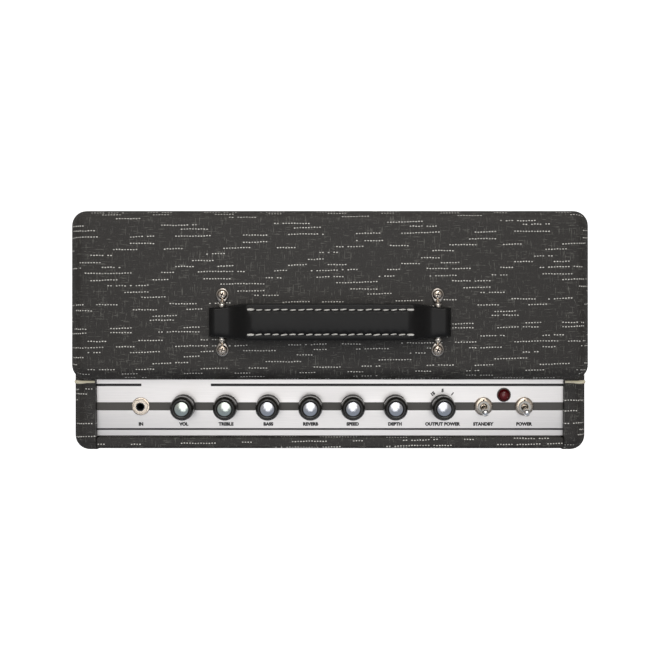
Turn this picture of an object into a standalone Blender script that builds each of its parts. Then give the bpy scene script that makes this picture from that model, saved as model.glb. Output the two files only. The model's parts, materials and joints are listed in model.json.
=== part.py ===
"""Guitar amp head: a covered wooden cabinet with a strap handle, a rear control panel and its works.

Metres, +Z up. The control panel side faces -Y and the grille faces +Y. The origin is on the ground
under the middle of the cabinet. Panel pieces are placed in the panel's own frame: X along the
panel, Y up its slope towards the grille, Z out of its face.
"""
import math

import bmesh
import bpy
from mathutils import Matrix, Vector

# Fits
GAP = 0.0003             # clearance between pieces that touch
OVERLAP = 0.001          # how far shapes that are joined run into each other
THROUGH = 0.004          # how far a cutter runs past the wall that it cuts
WELD = 0.00001
SHARP_ANGLE = math.radians(40)
ROUND_STEPS = 20
FINE_STEPS = 16
COARSE_STEPS = 12

# Cabinet
HALF_WIDTH = 0.2605
HALF_DEPTH = 0.1212
FOOT_HEIGHT = 0.0127
TOP_Z = 0.2413
BOARD = 0.019
SIDE_BOARD = 0.0218      # a side board with its covering on both faces
SIDE_INSET = 0.0005      # the side boards stand this far inside the top board's ends
CORNER_RADIUS = 0.015    # upright corners, seen from above
ROUNDOVER = 0.013        # rounded long edges
ROUND_SEGMENTS = 4
TOP_REAR_Y = -0.0492     # rear edge of the top board, where the control panel comes out
BASE_Z = FOOT_HEIGHT
TOP_UNDERSIDE = TOP_Z - BOARD
SIDE_TOP = TOP_UNDERSIDE - GAP
SIDE_OUTER = HALF_WIDTH - SIDE_INSET
INNER_X = SIDE_OUTER - SIDE_BOARD
FIT_X = INNER_X - GAP
FLOOR_Z = BASE_Z + BOARD

# Front
BAFFLE_BACK = 0.096
BAFFLE = 0.012
CLOTH = 0.0015
FRONT_PIPE = 0.0023
PIPE_CORNER = 0.008
CORNER_STEPS = 3

# Rear panels
REAR_PANEL = 0.0120
REAR_PANEL_Y = -0.1199
UPPER_PANEL_BOTTOM = 0.150
UPPER_PANEL_TOP = 0.216
UPPER_PANEL_EDGE = 0.004
LOWER_PANEL_TOP = 0.100

# Side piping
PIPE = 0.0018
PIPE_RISE = 0.0004       # height of the cord's centre over the flat of the side board
PIPE_SINK = 0.0013       # depth of the cord's centre under the side board's outer face
PIPE_Y = TOP_REAR_Y - PIPE - 2 * GAP
PIPE_FOOT = 0.030
PIPE_BEND_STEPS = 6
PIPE_GROOVE_RUN = 4 * GAP

# Feet
FOOT_X = 0.205
FOOT_Y = 0.085
FOOT_TOP = FOOT_HEIGHT - GAP
FOOT_SHAPE = ((0.0, FOOT_TOP), (0.0165, FOOT_TOP), (0.0190, 0.0030), (0.0183, 0.0), (0.0070, 0.0),
              (0.0070, 0.0050), (0.0, 0.0050))

# Handle
HANDLE_Y = 0.0086
PIN_X = 0.1077
PIN_Z = 0.2497
PIN_RADIUS = 0.0030
HANDLE_END = 0.1204
END_HALF_WIDTH = 0.0142
PAD_HALF_WIDTH = 0.0184
END_HALF_THICKNESS = 0.0068
PAD_HALF_THICKNESS = 0.0072
PAD_Z = 0.2610
WIDEN_START = 0.1107             # where the leather begins to widen from its end loop
WIDEN_LENGTH = 0.0245
RISE_START = PIN_X - 0.0060      # where it begins to rise
RISE_LENGTH = 0.0260
LOOP_TIP = 0.25                  # thickness left at the very end of the loop
GRIP_STATIONS = (0.0, 0.045, 0.0757, 0.081, 0.0862, 0.0915, 0.0965, 0.1017, 0.1107, 0.1136, 0.1175, 0.1195)
GRIP_EDGE = 0.0016
GRIP_HOLE = PIN_RADIUS + 0.0005
SCREW_Y = 0.0277
PLATE = 0.0022
PLATE_TOP = TOP_Z + GAP + PLATE
PLATE_RADIUS = 0.0060
PLATE_Y = 0.0290
NECK_RADIUS = 0.0046
NECK_Y = 0.0215
BAR_BEND = ((0.0188, PLATE_TOP - OVERLAP), (0.0186, 0.2462), (0.0176, 0.2486), (0.0156, PIN_Z))
SCREW_HOLE = 0.0023
SCREW_SEAT = PLATE_TOP + GAP
SCREW_SHAPE = ((0.0, SCREW_SEAT + 0.0032), (0.0030, SCREW_SEAT + 0.0028), (0.0046, SCREW_SEAT + 0.0016),
               (0.0052, SCREW_SEAT), (0.0020, SCREW_SEAT), (0.0020, 0.2260), (0.0, 0.2240))

# Control panel
PANEL_TILT = math.radians(4.5)
PANEL_Y = -0.0770        # the control row
PANEL_Z = 0.2138
FACEPLATE = 0.0015
FACEPLATE_REAR = -0.0300
FACEPLATE_FRONT = 0.0370
KNOBS = ("volume", "treble", "bass", "reverb", "speed", "depth")
KNOB_FIRST_X = -0.1494
KNOB_PITCH = 0.04316
SELECTOR_X = 0.1149
JACK_X = -0.1932
SWITCHES = {"standby": 0.1565, "power": 0.1982}
LAMP_X = 0.1773
LAMP_Y = 0.0121
BUSHING = 0.00465
BUSHING_HOLE = 0.0050
SWITCH_BUSHING = 0.00585
SWITCH_HOLE = 0.00615
LAMP_HOLE = 0.0066

# Chassis, in the panel's frame
SHEET = 0.0015
CHASSIS_X = FIT_X - 0.0010
CHASSIS_TOP = -FACEPLATE - GAP
BEHIND = CHASSIS_TOP - SHEET - GAP   # where the bodies of the controls begin
CHASSIS_BOTTOM = -0.0620
CHASSIS_REAR = -0.0290
CHASSIS_FRONT = 0.0350
UNDER = CHASSIS_BOTTOM - GAP
BOARD_LOW_X = -0.178
BOARD_HIGH_X = 0.138
BOARD_TOP = -0.0160
BOARD_EDGE = 0.0040      # between the circuit board and the chassis's open side and front wall
CIRCUIT_BOARD = 0.0016
CAPACITORS = 8
CAPACITOR_FIRST_X = BOARD_LOW_X + 0.028
CAPACITOR_PITCH = 0.038
CAPACITOR_Y = 0.010
CAPACITOR_RADIUS = 0.0070
CAPACITOR_LENGTH = 0.022
PREAMP_TUBES = (-0.130, -0.085, -0.040)
PREAMP_HOLE = 0.0083
POWER_TUBE_HOLE = 0.0133
OUTPUT_TRANSFORMER_X = 0.010
POWER_TUBE_X = 0.072
POWER_TRANSFORMER_X = 0.142
TRANSFORMER_Y = 0.008
BELL_INSET = 0.006
BELL_ROUND = 0.006
CORE_START = 0.28        # the laminations' share of a transformer's height
CORE_END = 0.72
INLET_X = 0.210
INLET_Y = 0.002
REAR_JACKS = {"footswitch": -0.208, "speaker": -0.172}

# Reverb tank
TANK_HALF_LENGTH = 0.212
TANK_REAR = -0.062
TANK_FRONT = 0.048
TANK_TOP = 0.066
TANK_SHEET = 0.0012
TANK_SOCKETS = (-0.150, 0.150)
TANK_SOCKET_Z = 0.050
TANK_SOCKET_RADIUS = 0.004
TANK_SOCKET_LENGTH = 0.008

# Turned pieces of the panel, as (radius, height) down the outer side
POT_SHAPE = ((0.0, -0.0105), (0.0033, -0.0105), (0.0033, 0.0060), (BUSHING, 0.0060), (BUSHING, BEHIND),
             (0.0120, BEHIND), (0.0120, -0.0140), (0.0, -0.0140))
KNOB_SHAPE = ((0.0, 0.0236), (0.0072, 0.0236), (0.0076, 0.0240), (0.0083, 0.0238), (0.0089, 0.0205),
              (0.0112, 0.0178), (0.0122, 0.0135), (0.0124, 0.0080), (0.0124, 0.0010), (0.0075, 0.0010),
              (0.0075, 0.0075), (0.0030, 0.0075), (0.0030, -0.0095), (0.0, -0.0095))
LEVER_SHAPE = ((0.0, 0.0225), (0.0017, 0.0221), (0.0027, 0.0208), (0.00295, 0.0193), (0.0026, 0.0172),
               (0.0015, 0.0060), (0.0015, 0.0026), (0.0029, 0.0012), (0.0031, 0.0), (0.0029, -0.0012),
               (0.0013, -0.0028), (0.0013, -0.0060), (0.0, -0.0060))
NUT_SHAPE = ((0.0083, 0.0032), (0.0093, 0.0024), (0.0093, GAP), (0.0062, GAP), (0.0062, 0.0032))
HOLDER_SHAPE = ((0.0, -0.0160), (0.0056, -0.0160), (0.0056, 0.0016), (0.0071, 0.0016), (0.0071, GAP),
                (0.0063, GAP), (0.0063, -0.0180), (0.0, -0.0180))
LENS_SHAPE = ((0.0, 0.0056), (0.0026, 0.0052), (0.0048, 0.0040), (0.0062, 0.0019), (0.0053, 0.0019),
              (0.0053, -0.0060), (0.0, -0.0060))
JACK_SHAPE = ((0.0, -0.0210), (0.0033, -0.0210), (0.0033, 0.0045), (BUSHING, 0.0045), (BUSHING, BEHIND),
              (0.0085, BEHIND), (0.0085, -0.0250), (0.0, -0.0250))

# Toggle switch: half width, half length and underside of its body, then its moving lever
SWITCH_BODY = (0.009, 0.014, -0.0240)
SWITCH_BUSHING_ENDS = (-0.0060, 0.0060)
SWITCH_BORE = 0.0041
SWITCH_BORE_LOW = -0.0080
LEVER_TILT = math.radians(12)
LEVER_PIVOT_Z = 0.0020

# Nut of the input jack
WASHER_RADIUS = 0.0092
WASHER_TOP = 0.0012
NUT_RADIUS = 0.0081
NUT_LOW = 0.0006
NUT_TOP = 0.0036
NUT_BORE = 0.0049

# Turned pieces under the chassis, with heights from its underside
PREAMP_TUBE_SHAPE = ((0.0, 0.0025), (0.0080, 0.0025), (0.0080, -0.0020), (0.0105, -0.0020), (0.0105, -0.046),
                     (0.0070, -0.051), (0.0016, -0.0535), (0.0, -0.0545))
POWER_TUBE_SHAPE = ((0.0, 0.0025), (0.0130, 0.0025), (0.0130, -0.0020), (0.0155, -0.0020), (0.0155, -0.058),
                    (0.0110, -0.066), (0.0, -0.070))
REAR_JACK_SHAPE = ((0.0, 0.024), (0.0085, 0.024), (0.0085, 0.0020), (BUSHING, 0.0020), (BUSHING, -0.0060),
                   (0.0033, -0.0060), (0.0033, 0.020), (0.0, 0.020))

# Power inlet boxes, as (low corner, high corner) from its own origin
INLET_FLANGE = ((-0.0165, -0.0240, UNDER - 0.0020), (0.0165, 0.0300, UNDER))
INLET_CUTOUT = ((-0.0141, -0.0206, CHASSIS_BOTTOM - THROUGH),
                (0.0141, 0.0266, CHASSIS_BOTTOM + SHEET + THROUGH))
INLET_BODY = ((-0.0138, -0.0203, UNDER - OVERLAP), (0.0138, 0.0263, -0.0400))
INLET_SOCKET = ((-0.0120, -0.0180, UNDER - THROUGH), (0.0120, -0.0020, -0.0430))
DRAWER_POCKET = ((-0.0113, 0.0040, UNDER - THROUGH), (0.0113, 0.0126, -0.0470))
DRAWER = ((-0.0110, 0.0043, UNDER - 0.0020), (0.0110, 0.0123, -0.0473))
DRAWER_LIP = ((-0.0060, 0.0060, UNDER - 0.0045), (0.0060, 0.0106, UNDER - OVERLAP))
BLADES = ((-0.007, -0.0120), (0.0, -0.0080), (0.007, -0.0120))
BLADE_HALF = (0.001, 0.002)
BLADE_ENDS = (UNDER + 0.0020, -0.0415)

COLOURS = {
    "covering": ((0.045, 0.045, 0.043, 1.0), 0.65, 0.0),
    "cream": ((0.80, 0.70, 0.45, 1.0), 0.45, 0.0),
    "cloth": ((0.05, 0.05, 0.05, 1.0), 0.90, 0.0),
    "wood": ((0.30, 0.20, 0.11, 1.0), 0.70, 0.0),
    "leather": ((0.025, 0.024, 0.023, 1.0), 0.45, 0.0),
    "chrome": ((0.80, 0.78, 0.74, 1.0), 0.12, 1.0),
    "brushed": ((0.72, 0.71, 0.70, 1.0), 0.35, 1.0),
    "steel": ((0.55, 0.55, 0.56, 1.0), 0.45, 1.0),
    "knob": ((0.020, 0.019, 0.017, 1.0), 0.20, 0.0),
    "plastic": ((0.030, 0.030, 0.030, 1.0), 0.50, 0.0),
    "jewel": ((0.35, 0.01, 0.015, 1.0), 0.10, 0.0),
    "glass": ((0.75, 0.80, 0.80, 1.0), 0.05, 0.0),
    "circuit": ((0.04, 0.16, 0.07, 1.0), 0.50, 0.0),
    "rubber": ((0.020, 0.020, 0.020, 1.0), 0.80, 0.0),
}

def clear_scene():
    for item in list(bpy.data.objects):
        bpy.data.objects.remove(item, do_unlink=True)


def new_collection(name):
    group = bpy.data.collections.new(name)
    bpy.context.scene.collection.children.link(group)
    return group


clear_scene()
PARTS = new_collection("guitar_amp_head")
CUTTERS = new_collection("cutters")
CUTTERS.hide_render = True


def material(name):
    """The named material, made on first use."""
    if name in bpy.data.materials:
        return bpy.data.materials[name]
    colour, roughness, metallic = COLOURS[name]
    made = bpy.data.materials.new(name)
    made.use_nodes = True
    shader = made.node_tree.nodes["Principled BSDF"]
    shader.inputs["Base Color"].default_value = colour
    shader.inputs["Roughness"].default_value = roughness
    shader.inputs["Metallic"].default_value = metallic
    return made


def place(thing, at=(0.0, 0.0, 0.0), parent=None, tilt=0.0):
    """Sets an object's place and its tilt about X in its parent's frame."""
    thing.parent = parent
    thing.location = at
    thing.rotation_euler = (tilt, 0.0, 0.0)
    return thing


def new_object(name, data, colour=None):
    """A part when it has a colour, or else a cutter or guide that isn't rendered."""
    thing = bpy.data.objects.new(name, data)
    if colour:
        PARTS.objects.link(thing)
        data.materials.append(material(colour))
    else:
        CUTTERS.objects.link(thing)
        thing.hide_render = True
        thing.display_type = "WIRE"
    return thing


def from_bmesh(name, bm, colour=None):
    bmesh.ops.recalc_face_normals(bm, faces=bm.faces)
    data = bpy.data.meshes.new(name)
    bm.to_mesh(data)
    bm.free()
    return new_object(name, data, colour)


def box_bmesh(low, high):
    bm = bmesh.new()
    bmesh.ops.create_cube(bm, size=1.0)
    bmesh.ops.scale(bm, vec=Vector(high) - Vector(low), verts=bm.verts)
    bmesh.ops.translate(bm, vec=(Vector(high) + Vector(low)) / 2, verts=bm.verts)
    return bm


def box(name, low, high, colour=None):
    return from_bmesh(name, box_bmesh(low, high), colour)


def near(value, level):
    return abs(value - level) < WELD


def round_edges(bm, test, radius, segments=ROUND_SEGMENTS):
    """Rounds the edges whose two ends pass the test."""
    edges = [edge for edge in bm.edges if test(edge.verts[0].co, edge.verts[1].co)]
    bmesh.ops.bevel(bm, geom=edges, offset=radius, segments=segments, profile=0.5, affect="EDGES")


def is_upright(a, b):
    return near(a.x, b.x) and near(a.y, b.y) and not near(a.z, b.z)


def add_drum(bm, radius, low, high, at=(0.0, 0.0), steps=FINE_STEPS):
    """Adds a closed upright cylinder from height low to height high."""
    shift = Matrix.Translation((at[0], at[1], (low + high) / 2))
    bmesh.ops.create_cone(bm, cap_ends=True, segments=steps, radius1=radius, radius2=radius,
                          depth=high - low, matrix=shift)


def drums(name, holes, low, high, steps=FINE_STEPS):
    """One cutter of several upright cylinders, each given as x, y and radius."""
    bm = bmesh.new()
    for x, y, radius in holes:
        add_drum(bm, radius, low, high, (x, y), steps)
    return from_bmesh(name, bm)


def combine(target, other, operation):
    step = target.modifiers.new(other.name, "BOOLEAN")
    step.operation = operation
    step.object = other
    step.solver = "EXACT"
    return target


def cut(target, *cutters):
    for cutter in cutters:
        combine(target, cutter, "DIFFERENCE")
    return target


def join(target, *pieces):
    for piece in pieces:
        combine(target, piece, "UNION")
    return target


def fold(shell, thickness):
    """Thickens an open shell inwards into sheet metal."""
    wall = shell.modifiers.new("sheet", "SOLIDIFY")
    wall.thickness = thickness
    wall.offset = -1.0
    wall.use_even_offset = True


def settled(thing, colour=None):
    """A mesh object with the evaluated, welded shape of the given one, which is removed."""
    name = thing.name
    bpy.context.view_layer.update()
    shape = thing.evaluated_get(bpy.context.evaluated_depsgraph_get())
    data = bpy.data.meshes.new_from_object(shape)
    data.materials.clear()
    pose = thing.matrix_world.copy()
    bpy.data.objects.remove(thing)
    bm = bmesh.new()
    bm.from_mesh(data)
    bmesh.ops.remove_doubles(bm, verts=bm.verts, dist=WELD)
    bm.to_mesh(data)
    bm.free()
    data.shade_smooth()
    data.set_sharp_from_angle(angle=SHARP_ANGLE)
    data.name = name
    made = new_object(name, data, colour)
    made.matrix_world = pose
    return made


def turned(name, profile, colour=None, steps=FINE_STEPS, ring=False):
    """A solid turned about Z from (radius, height) points that run down its outer side."""
    count = len(profile)
    edges = [(index, index + 1) for index in range(count - 1)]
    if ring:
        edges.append((count - 1, 0))
    line = bpy.data.meshes.new(name)
    line.from_pydata([(radius, 0.0, height) for radius, height in profile], edges, [])
    guide = new_object(name, line)
    turn = guide.modifiers.new("turn", "SCREW")
    turn.steps = steps
    turn.render_steps = steps
    turn.use_merge_vertices = True
    turn.merge_threshold = WELD
    return settled(guide, colour)


def tube(name, points, radius, colour=None, cyclic=False):
    """A round cord or rod along the points, with closed ends."""
    curve = bpy.data.curves.new(name, "CURVE")
    curve.dimensions = "3D"
    curve.bevel_depth = radius
    curve.bevel_resolution = 2
    curve.render_resolution_u = 0
    curve.use_fill_caps = not cyclic
    line = curve.splines.new("POLY")
    line.points.add(len(points) - 1)
    for point, spot in zip(line.points, points):
        point.co = (*spot, 1.0)
    line.use_cyclic_u = cyclic
    guide = bpy.data.objects.new(name, curve)
    CUTTERS.objects.link(guide)
    return settled(guide, colour)


def arc(centre_x, centre_z, radius_from, radius_to, start, end, steps):
    """Points in the XZ plane along an arc whose radius may change from end to end."""
    points = []
    for step in range(steps + 1):
        share = step / steps
        angle = start + (end - start) * share
        radius = radius_from + (radius_to - radius_from) * share
        points.append((centre_x + radius * math.cos(angle), centre_z + radius * math.sin(angle)))
    return points


# Cabinet boards

def top_board():
    bm = box_bmesh((-HALF_WIDTH, TOP_REAR_Y, TOP_UNDERSIDE), (HALF_WIDTH, HALF_DEPTH, TOP_Z))
    round_edges(bm, is_upright, CORNER_RADIUS)
    round_edges(bm, lambda a, b: near(a.z, TOP_Z) and near(b.z, TOP_Z), ROUNDOVER)
    board = from_bmesh("top_board", bm, "covering")
    corners = [(side * PIN_X, HANDLE_Y + row * SCREW_Y) for side in (-1, 1) for row in (-1, 1)]
    holes = [(x, y, SCREW_HOLE) for x, y in corners]
    low = TOP_UNDERSIDE - THROUGH
    cut(board, drums("handle_screw_holes", holes, low, TOP_Z + THROUGH, COARSE_STEPS))


def side_board(name, side):
    """The front length is square under the top board, and the rear length has a rounded top edge."""
    outer = side * SIDE_OUTER
    inner = side * INNER_X
    left = min(outer, inner)
    right = max(outer, inner)

    def is_outer_corner(a, b):
        return is_upright(a, b) and near(a.x, outer)

    def is_bottom_rim(a, b):
        return near(a.z, BASE_Z) and near(b.z, BASE_Z) and not (near(a.x, inner) and near(b.x, inner))

    front = box_bmesh((left, TOP_REAR_Y, BASE_Z), (right, HALF_DEPTH, SIDE_TOP))
    round_edges(front, is_outer_corner, CORNER_RADIUS)
    round_edges(front, is_bottom_rim, ROUNDOVER)
    board = from_bmesh(name, front, "covering")

    rear_end = TOP_REAR_Y + 2 * CORNER_RADIUS
    rear = box_bmesh((left, -HALF_DEPTH, BASE_Z), (right, rear_end, SIDE_TOP))

    def is_top_rim(a, b):
        along_inner = near(a.x, inner) and near(b.x, inner)
        along_front = near(a.y, rear_end) and near(b.y, rear_end)
        return near(a.z, SIDE_TOP) and near(b.z, SIDE_TOP) and not along_inner and not along_front

    round_edges(rear, lambda a, b: is_outer_corner(a, b) and near(a.y, -HALF_DEPTH), CORNER_RADIUS)
    round_edges(rear, is_top_rim, ROUNDOVER)
    round_edges(rear, is_bottom_rim, ROUNDOVER)
    join(board, from_bmesh(name + "_rear", rear))
    groove = tube(name + "_groove", piping_route(side, PIPE_GROOVE_RUN, PIPE_FOOT - GAP), PIPE + GAP)
    cut(board, groove)


def piping_route(side, inward, foot):
    """Along the side board's flat top from its inner face, over the rounded edge and down the side."""
    centre_x = SIDE_OUTER - ROUNDOVER
    centre_z = SIDE_TOP - ROUNDOVER
    bend = arc(centre_x, centre_z, ROUNDOVER + PIPE_RISE, ROUNDOVER - PIPE_SINK, math.pi / 2, 0.0,
               PIPE_BEND_STEPS)
    spots = [(INNER_X + GAP - inward, SIDE_TOP + PIPE_RISE)] + bend + [(SIDE_OUTER - PIPE_SINK, foot)]
    return [(side * x, PIPE_Y, z) for x, z in spots]


def bottom_board():
    bm = box_bmesh((-FIT_X, -HALF_DEPTH, BASE_Z), (FIT_X, HALF_DEPTH, FLOOR_Z))

    def is_long_bottom_edge(a, b):
        return near(a.z, BASE_Z) and near(b.z, BASE_Z) and not near(a.x, b.x)

    round_edges(bm, is_long_bottom_edge, ROUNDOVER)
    from_bmesh("bottom_board", bm, "covering")


def front():
    low = FLOOR_Z + GAP
    box("front_baffle", (-FIT_X, BAFFLE_BACK, low), (FIT_X, BAFFLE_BACK + BAFFLE, SIDE_TOP), "wood")
    cloth_back = BAFFLE_BACK + BAFFLE + GAP
    box("grille_cloth", (-FIT_X, cloth_back, low), (FIT_X, cloth_back + CLOTH, SIDE_TOP), "cloth")
    pipe_y = cloth_back + CLOTH + GAP + FRONT_PIPE
    reach_x = FIT_X - FRONT_PIPE - PIPE_CORNER
    low_z = low + FRONT_PIPE + PIPE_CORNER
    high_z = SIDE_TOP - FRONT_PIPE - PIPE_CORNER
    quarter = math.pi / 2
    corners = ((reach_x, low_z), (reach_x, high_z), (-reach_x, high_z), (-reach_x, low_z))
    route = []
    for turn, (x, z) in enumerate(corners, start=-1):
        start = turn * quarter
        route += arc(x, z, PIPE_CORNER, PIPE_CORNER, start, start + quarter, CORNER_STEPS)
    tube("front_piping", [(x, pipe_y, z) for x, z in route], FRONT_PIPE, "cream", cyclic=True)


def rear_panels():
    front_y = REAR_PANEL_Y + REAR_PANEL
    bm = box_bmesh((-FIT_X, REAR_PANEL_Y, UPPER_PANEL_BOTTOM), (FIT_X, front_y, UPPER_PANEL_TOP))

    def is_top_long_edge(a, b):
        return near(a.z, UPPER_PANEL_TOP) and near(b.z, UPPER_PANEL_TOP) and not near(a.x, b.x)

    round_edges(bm, is_top_long_edge, UPPER_PANEL_EDGE)
    from_bmesh("rear_upper_panel", bm, "covering")
    low = (-FIT_X, REAR_PANEL_Y, FLOOR_Z + GAP)
    box("rear_lower_panel", low, (FIT_X, front_y, LOWER_PANEL_TOP), "covering")


def feet():
    for row, y in (("front", FOOT_Y), ("rear", -FOOT_Y)):
        for side, x in (("left", -FOOT_X), ("right", FOOT_X)):
            place(turned("_".join(("foot", row, side)), FOOT_SHAPE, "rubber"), (x, y, 0.0))


# Handle

def grip_section(x):
    """Half width, middle height and half thickness of the leather at a distance along it."""
    reach = abs(x)
    loop_middle = HANDLE_END - END_HALF_THICKNESS
    widened = min(max((WIDEN_START - reach) / WIDEN_LENGTH, 0.0), 1.0)
    share = min(max((RISE_START - reach) / RISE_LENGTH, 0.0), 1.0)
    ease = share * share * (3 - 2 * share)
    half_width = END_HALF_WIDTH + (PAD_HALF_WIDTH - END_HALF_WIDTH) * widened
    middle = PIN_Z + (PAD_Z - PIN_Z) * ease
    half_thickness = END_HALF_THICKNESS + (PAD_HALF_THICKNESS - END_HALF_THICKNESS) * ease
    if reach > loop_middle:
        drop = (reach - loop_middle) / END_HALF_THICKNESS
        half_thickness *= max(math.sqrt(max(1.0 - drop * drop, 0.0)), LOOP_TIP)
    return half_width, middle, half_thickness


def handle_grip():
    """A long bar whose cross sections follow the leather's outline, with a hole at each end."""
    bm = box_bmesh((-HANDLE_END, -1.0, -1.0), (HANDLE_END, 1.0, 1.0))
    for reach in GRIP_STATIONS:
        for x in {reach, -reach}:
            geometry = bm.verts[:] + bm.edges[:] + bm.faces[:]
            bmesh.ops.bisect_plane(bm, geom=geometry, plane_co=(x, 0, 0), plane_no=(1, 0, 0))
    for vert in bm.verts:
        half_width, middle, half_thickness = grip_section(vert.co.x)
        vert.co.y = HANDLE_Y + math.copysign(half_width, vert.co.y)
        vert.co.z = middle + math.copysign(half_thickness, vert.co.z)

    def is_long_edge(a, b):
        at_side = near(abs(a.y - HANDLE_Y), grip_section(a.x)[0])
        return at_side and not near(a.x, b.x)

    round_edges(bm, is_long_edge, GRIP_EDGE, 2)
    grip = from_bmesh("handle_grip", bm, "leather")
    for side in (-1, 1):
        ends = [(side * PIN_X, HANDLE_Y + row * (END_HALF_WIDTH + THROUGH), PIN_Z) for row in (-1, 1)]
        cut(grip, tube("grip_hole", ends, GRIP_HOLE))


def handle_bar(name, side):
    """A bent rod that the leather loops round, with a base plate under each end."""
    middle = Vector((side * PIN_X, HANDLE_Y, 0.0))
    spots = list(BAR_BEND) + [(-y, z) for y, z in reversed(BAR_BEND)]
    rod = tube(name, [middle + Vector((0.0, y, z)) for y, z in spots], PIN_RADIUS, "chrome")
    holes = []
    for row in (-1, 1):
        bm = bmesh.new()
        add_drum(bm, PLATE_RADIUS, TOP_Z + GAP, PLATE_TOP, (middle.x, HANDLE_Y + row * PLATE_Y))
        join(rod, from_bmesh(name + "_plate", bm))
        bm = bmesh.new()
        neck = (middle.x, HANDLE_Y + row * NECK_Y)
        add_drum(bm, NECK_RADIUS, TOP_Z + GAP + WELD, PLATE_TOP - WELD, neck)
        join(rod, from_bmesh(name + "_neck", bm))
        holes.append((middle.x, HANDLE_Y + row * SCREW_Y, SCREW_HOLE))
    cut(rod, drums(name + "_holes", holes, TOP_Z - THROUGH, PLATE_TOP + THROUGH, COARSE_STEPS))


def handle_screws():
    for side, x in (("left", -PIN_X), ("right", PIN_X)):
        for row, y in (("front", SCREW_Y), ("rear", -SCREW_Y)):
            screw = turned("_".join(("handle_screw", side, row)), SCREW_SHAPE, "chrome", COARSE_STEPS)
            place(screw, (x, HANDLE_Y + y, 0.0))


def handle():
    handle_grip()
    handle_bar("left_handle_bar", -1)
    handle_bar("right_handle_bar", 1)
    handle_screws()


# Control panel

def control_holes():
    """x, y and radius of every hole along the control panel."""
    xs = [KNOB_FIRST_X + KNOB_PITCH * index for index in range(len(KNOBS))]
    holes = [(x, 0.0, BUSHING_HOLE) for x in xs + [SELECTOR_X, JACK_X]]
    holes += [(x, 0.0, SWITCH_HOLE) for x in SWITCHES.values()]
    return holes + [(LAMP_X, LAMP_Y, LAMP_HOLE)]


def faceplate(panel):
    low = (-FIT_X, FACEPLATE_REAR, -FACEPLATE)
    plate = box("faceplate", low, (FIT_X, FACEPLATE_FRONT, 0.0), "brushed")
    place(plate, parent=panel)
    cutter = drums("faceplate_holes", control_holes(), -FACEPLATE - THROUGH, THROUGH)
    cut(plate, place(cutter, parent=panel))


def chassis(panel):
    """A folded steel tray, open at the rear, with holes for the tubes and sockets in its floor."""
    low = (-CHASSIS_X, CHASSIS_REAR, CHASSIS_BOTTOM)
    bm = box_bmesh(low, (CHASSIS_X, CHASSIS_FRONT, CHASSIS_TOP))
    open_side = [face for face in bm.faces if near(face.calc_center_median().y, CHASSIS_REAR)]
    bmesh.ops.delete(bm, geom=open_side, context="FACES_ONLY")
    tray = from_bmesh("chassis", bm, "steel")
    place(tray, parent=panel)
    fold(tray, SHEET)
    top_cutter = drums("chassis_top_holes", control_holes(), CHASSIS_TOP - SHEET - THROUGH, THROUGH)
    under = [(x, 0.0, PREAMP_HOLE) for x in PREAMP_TUBES] + [(POWER_TUBE_X, 0.0, POWER_TUBE_HOLE)]
    under += [(x, 0.0, BUSHING_HOLE) for x in REAR_JACKS.values()]
    low_z = CHASSIS_BOTTOM - THROUGH
    under_cutter = drums("chassis_under_holes", under, low_z, CHASSIS_BOTTOM + SHEET + THROUGH)
    inlet_cutter = box("inlet_cutout", *INLET_CUTOUT)
    cut(tray, place(inlet_cutter, (INLET_X, INLET_Y, 0.0), panel))
    for cutter in (top_cutter, under_cutter):
        cut(tray, place(cutter, parent=panel))


def potentiometer(name, x, panel):
    """A can with a threaded bushing and a blind bore that the knob's shaft turns in."""
    place(turned(name, POT_SHAPE, "steel"), (x, 0.0, 0.0), panel)


def knob(name, x, panel):
    """A tall round knob, hollow round the bushing, with its shaft."""
    place(turned(name, KNOB_SHAPE, "knob", ROUND_STEPS), (x, 0.0, 0.0), panel)


def rotary_controls(panel):
    for index, name in enumerate(KNOBS):
        x = KNOB_FIRST_X + KNOB_PITCH * index
        potentiometer("pot_" + name, x, panel)
        knob("knob_" + name, x, panel)
    potentiometer("output_power_switch", SELECTOR_X, panel)
    knob("knob_output_power", SELECTOR_X, panel)


def toggle(name, x, panel):
    """A switch body with its bored bushing, a lever that rocks in the bore, and the nut."""
    half_x, half_y, underside = SWITCH_BODY
    low = (-half_x, -half_y, underside)
    body = box(name + "_switch_body", low, (half_x, half_y, BEHIND), "steel")
    low_end, high_end = SWITCH_BUSHING_ENDS
    bushing = drums(name + "_bushing", [(0.0, 0.0, SWITCH_BUSHING)], low_end, high_end)
    bore = drums(name + "_bore", [(0.0, 0.0, SWITCH_BORE)], SWITCH_BORE_LOW, high_end + THROUGH)
    join(body, place(bushing, (x, 0.0, 0.0), panel))
    cut(body, place(bore, (x, 0.0, 0.0), panel))
    place(body, (x, 0.0, 0.0), panel)
    lever = turned(name + "_lever", LEVER_SHAPE, "chrome", COARSE_STEPS)
    place(lever, (x, 0.0, LEVER_PIVOT_Z), panel, LEVER_TILT)
    nut = turned(name + "_nut", NUT_SHAPE, "chrome", ROUND_STEPS, ring=True)
    place(nut, (x, 0.0, 0.0), panel)


def pilot_lamp(panel):
    place(turned("pilot_holder", HOLDER_SHAPE, "chrome"), (LAMP_X, LAMP_Y, 0.0), panel)
    place(turned("pilot_lens", LENS_SHAPE, "jewel"), (LAMP_X, LAMP_Y, 0.0), panel)


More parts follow.
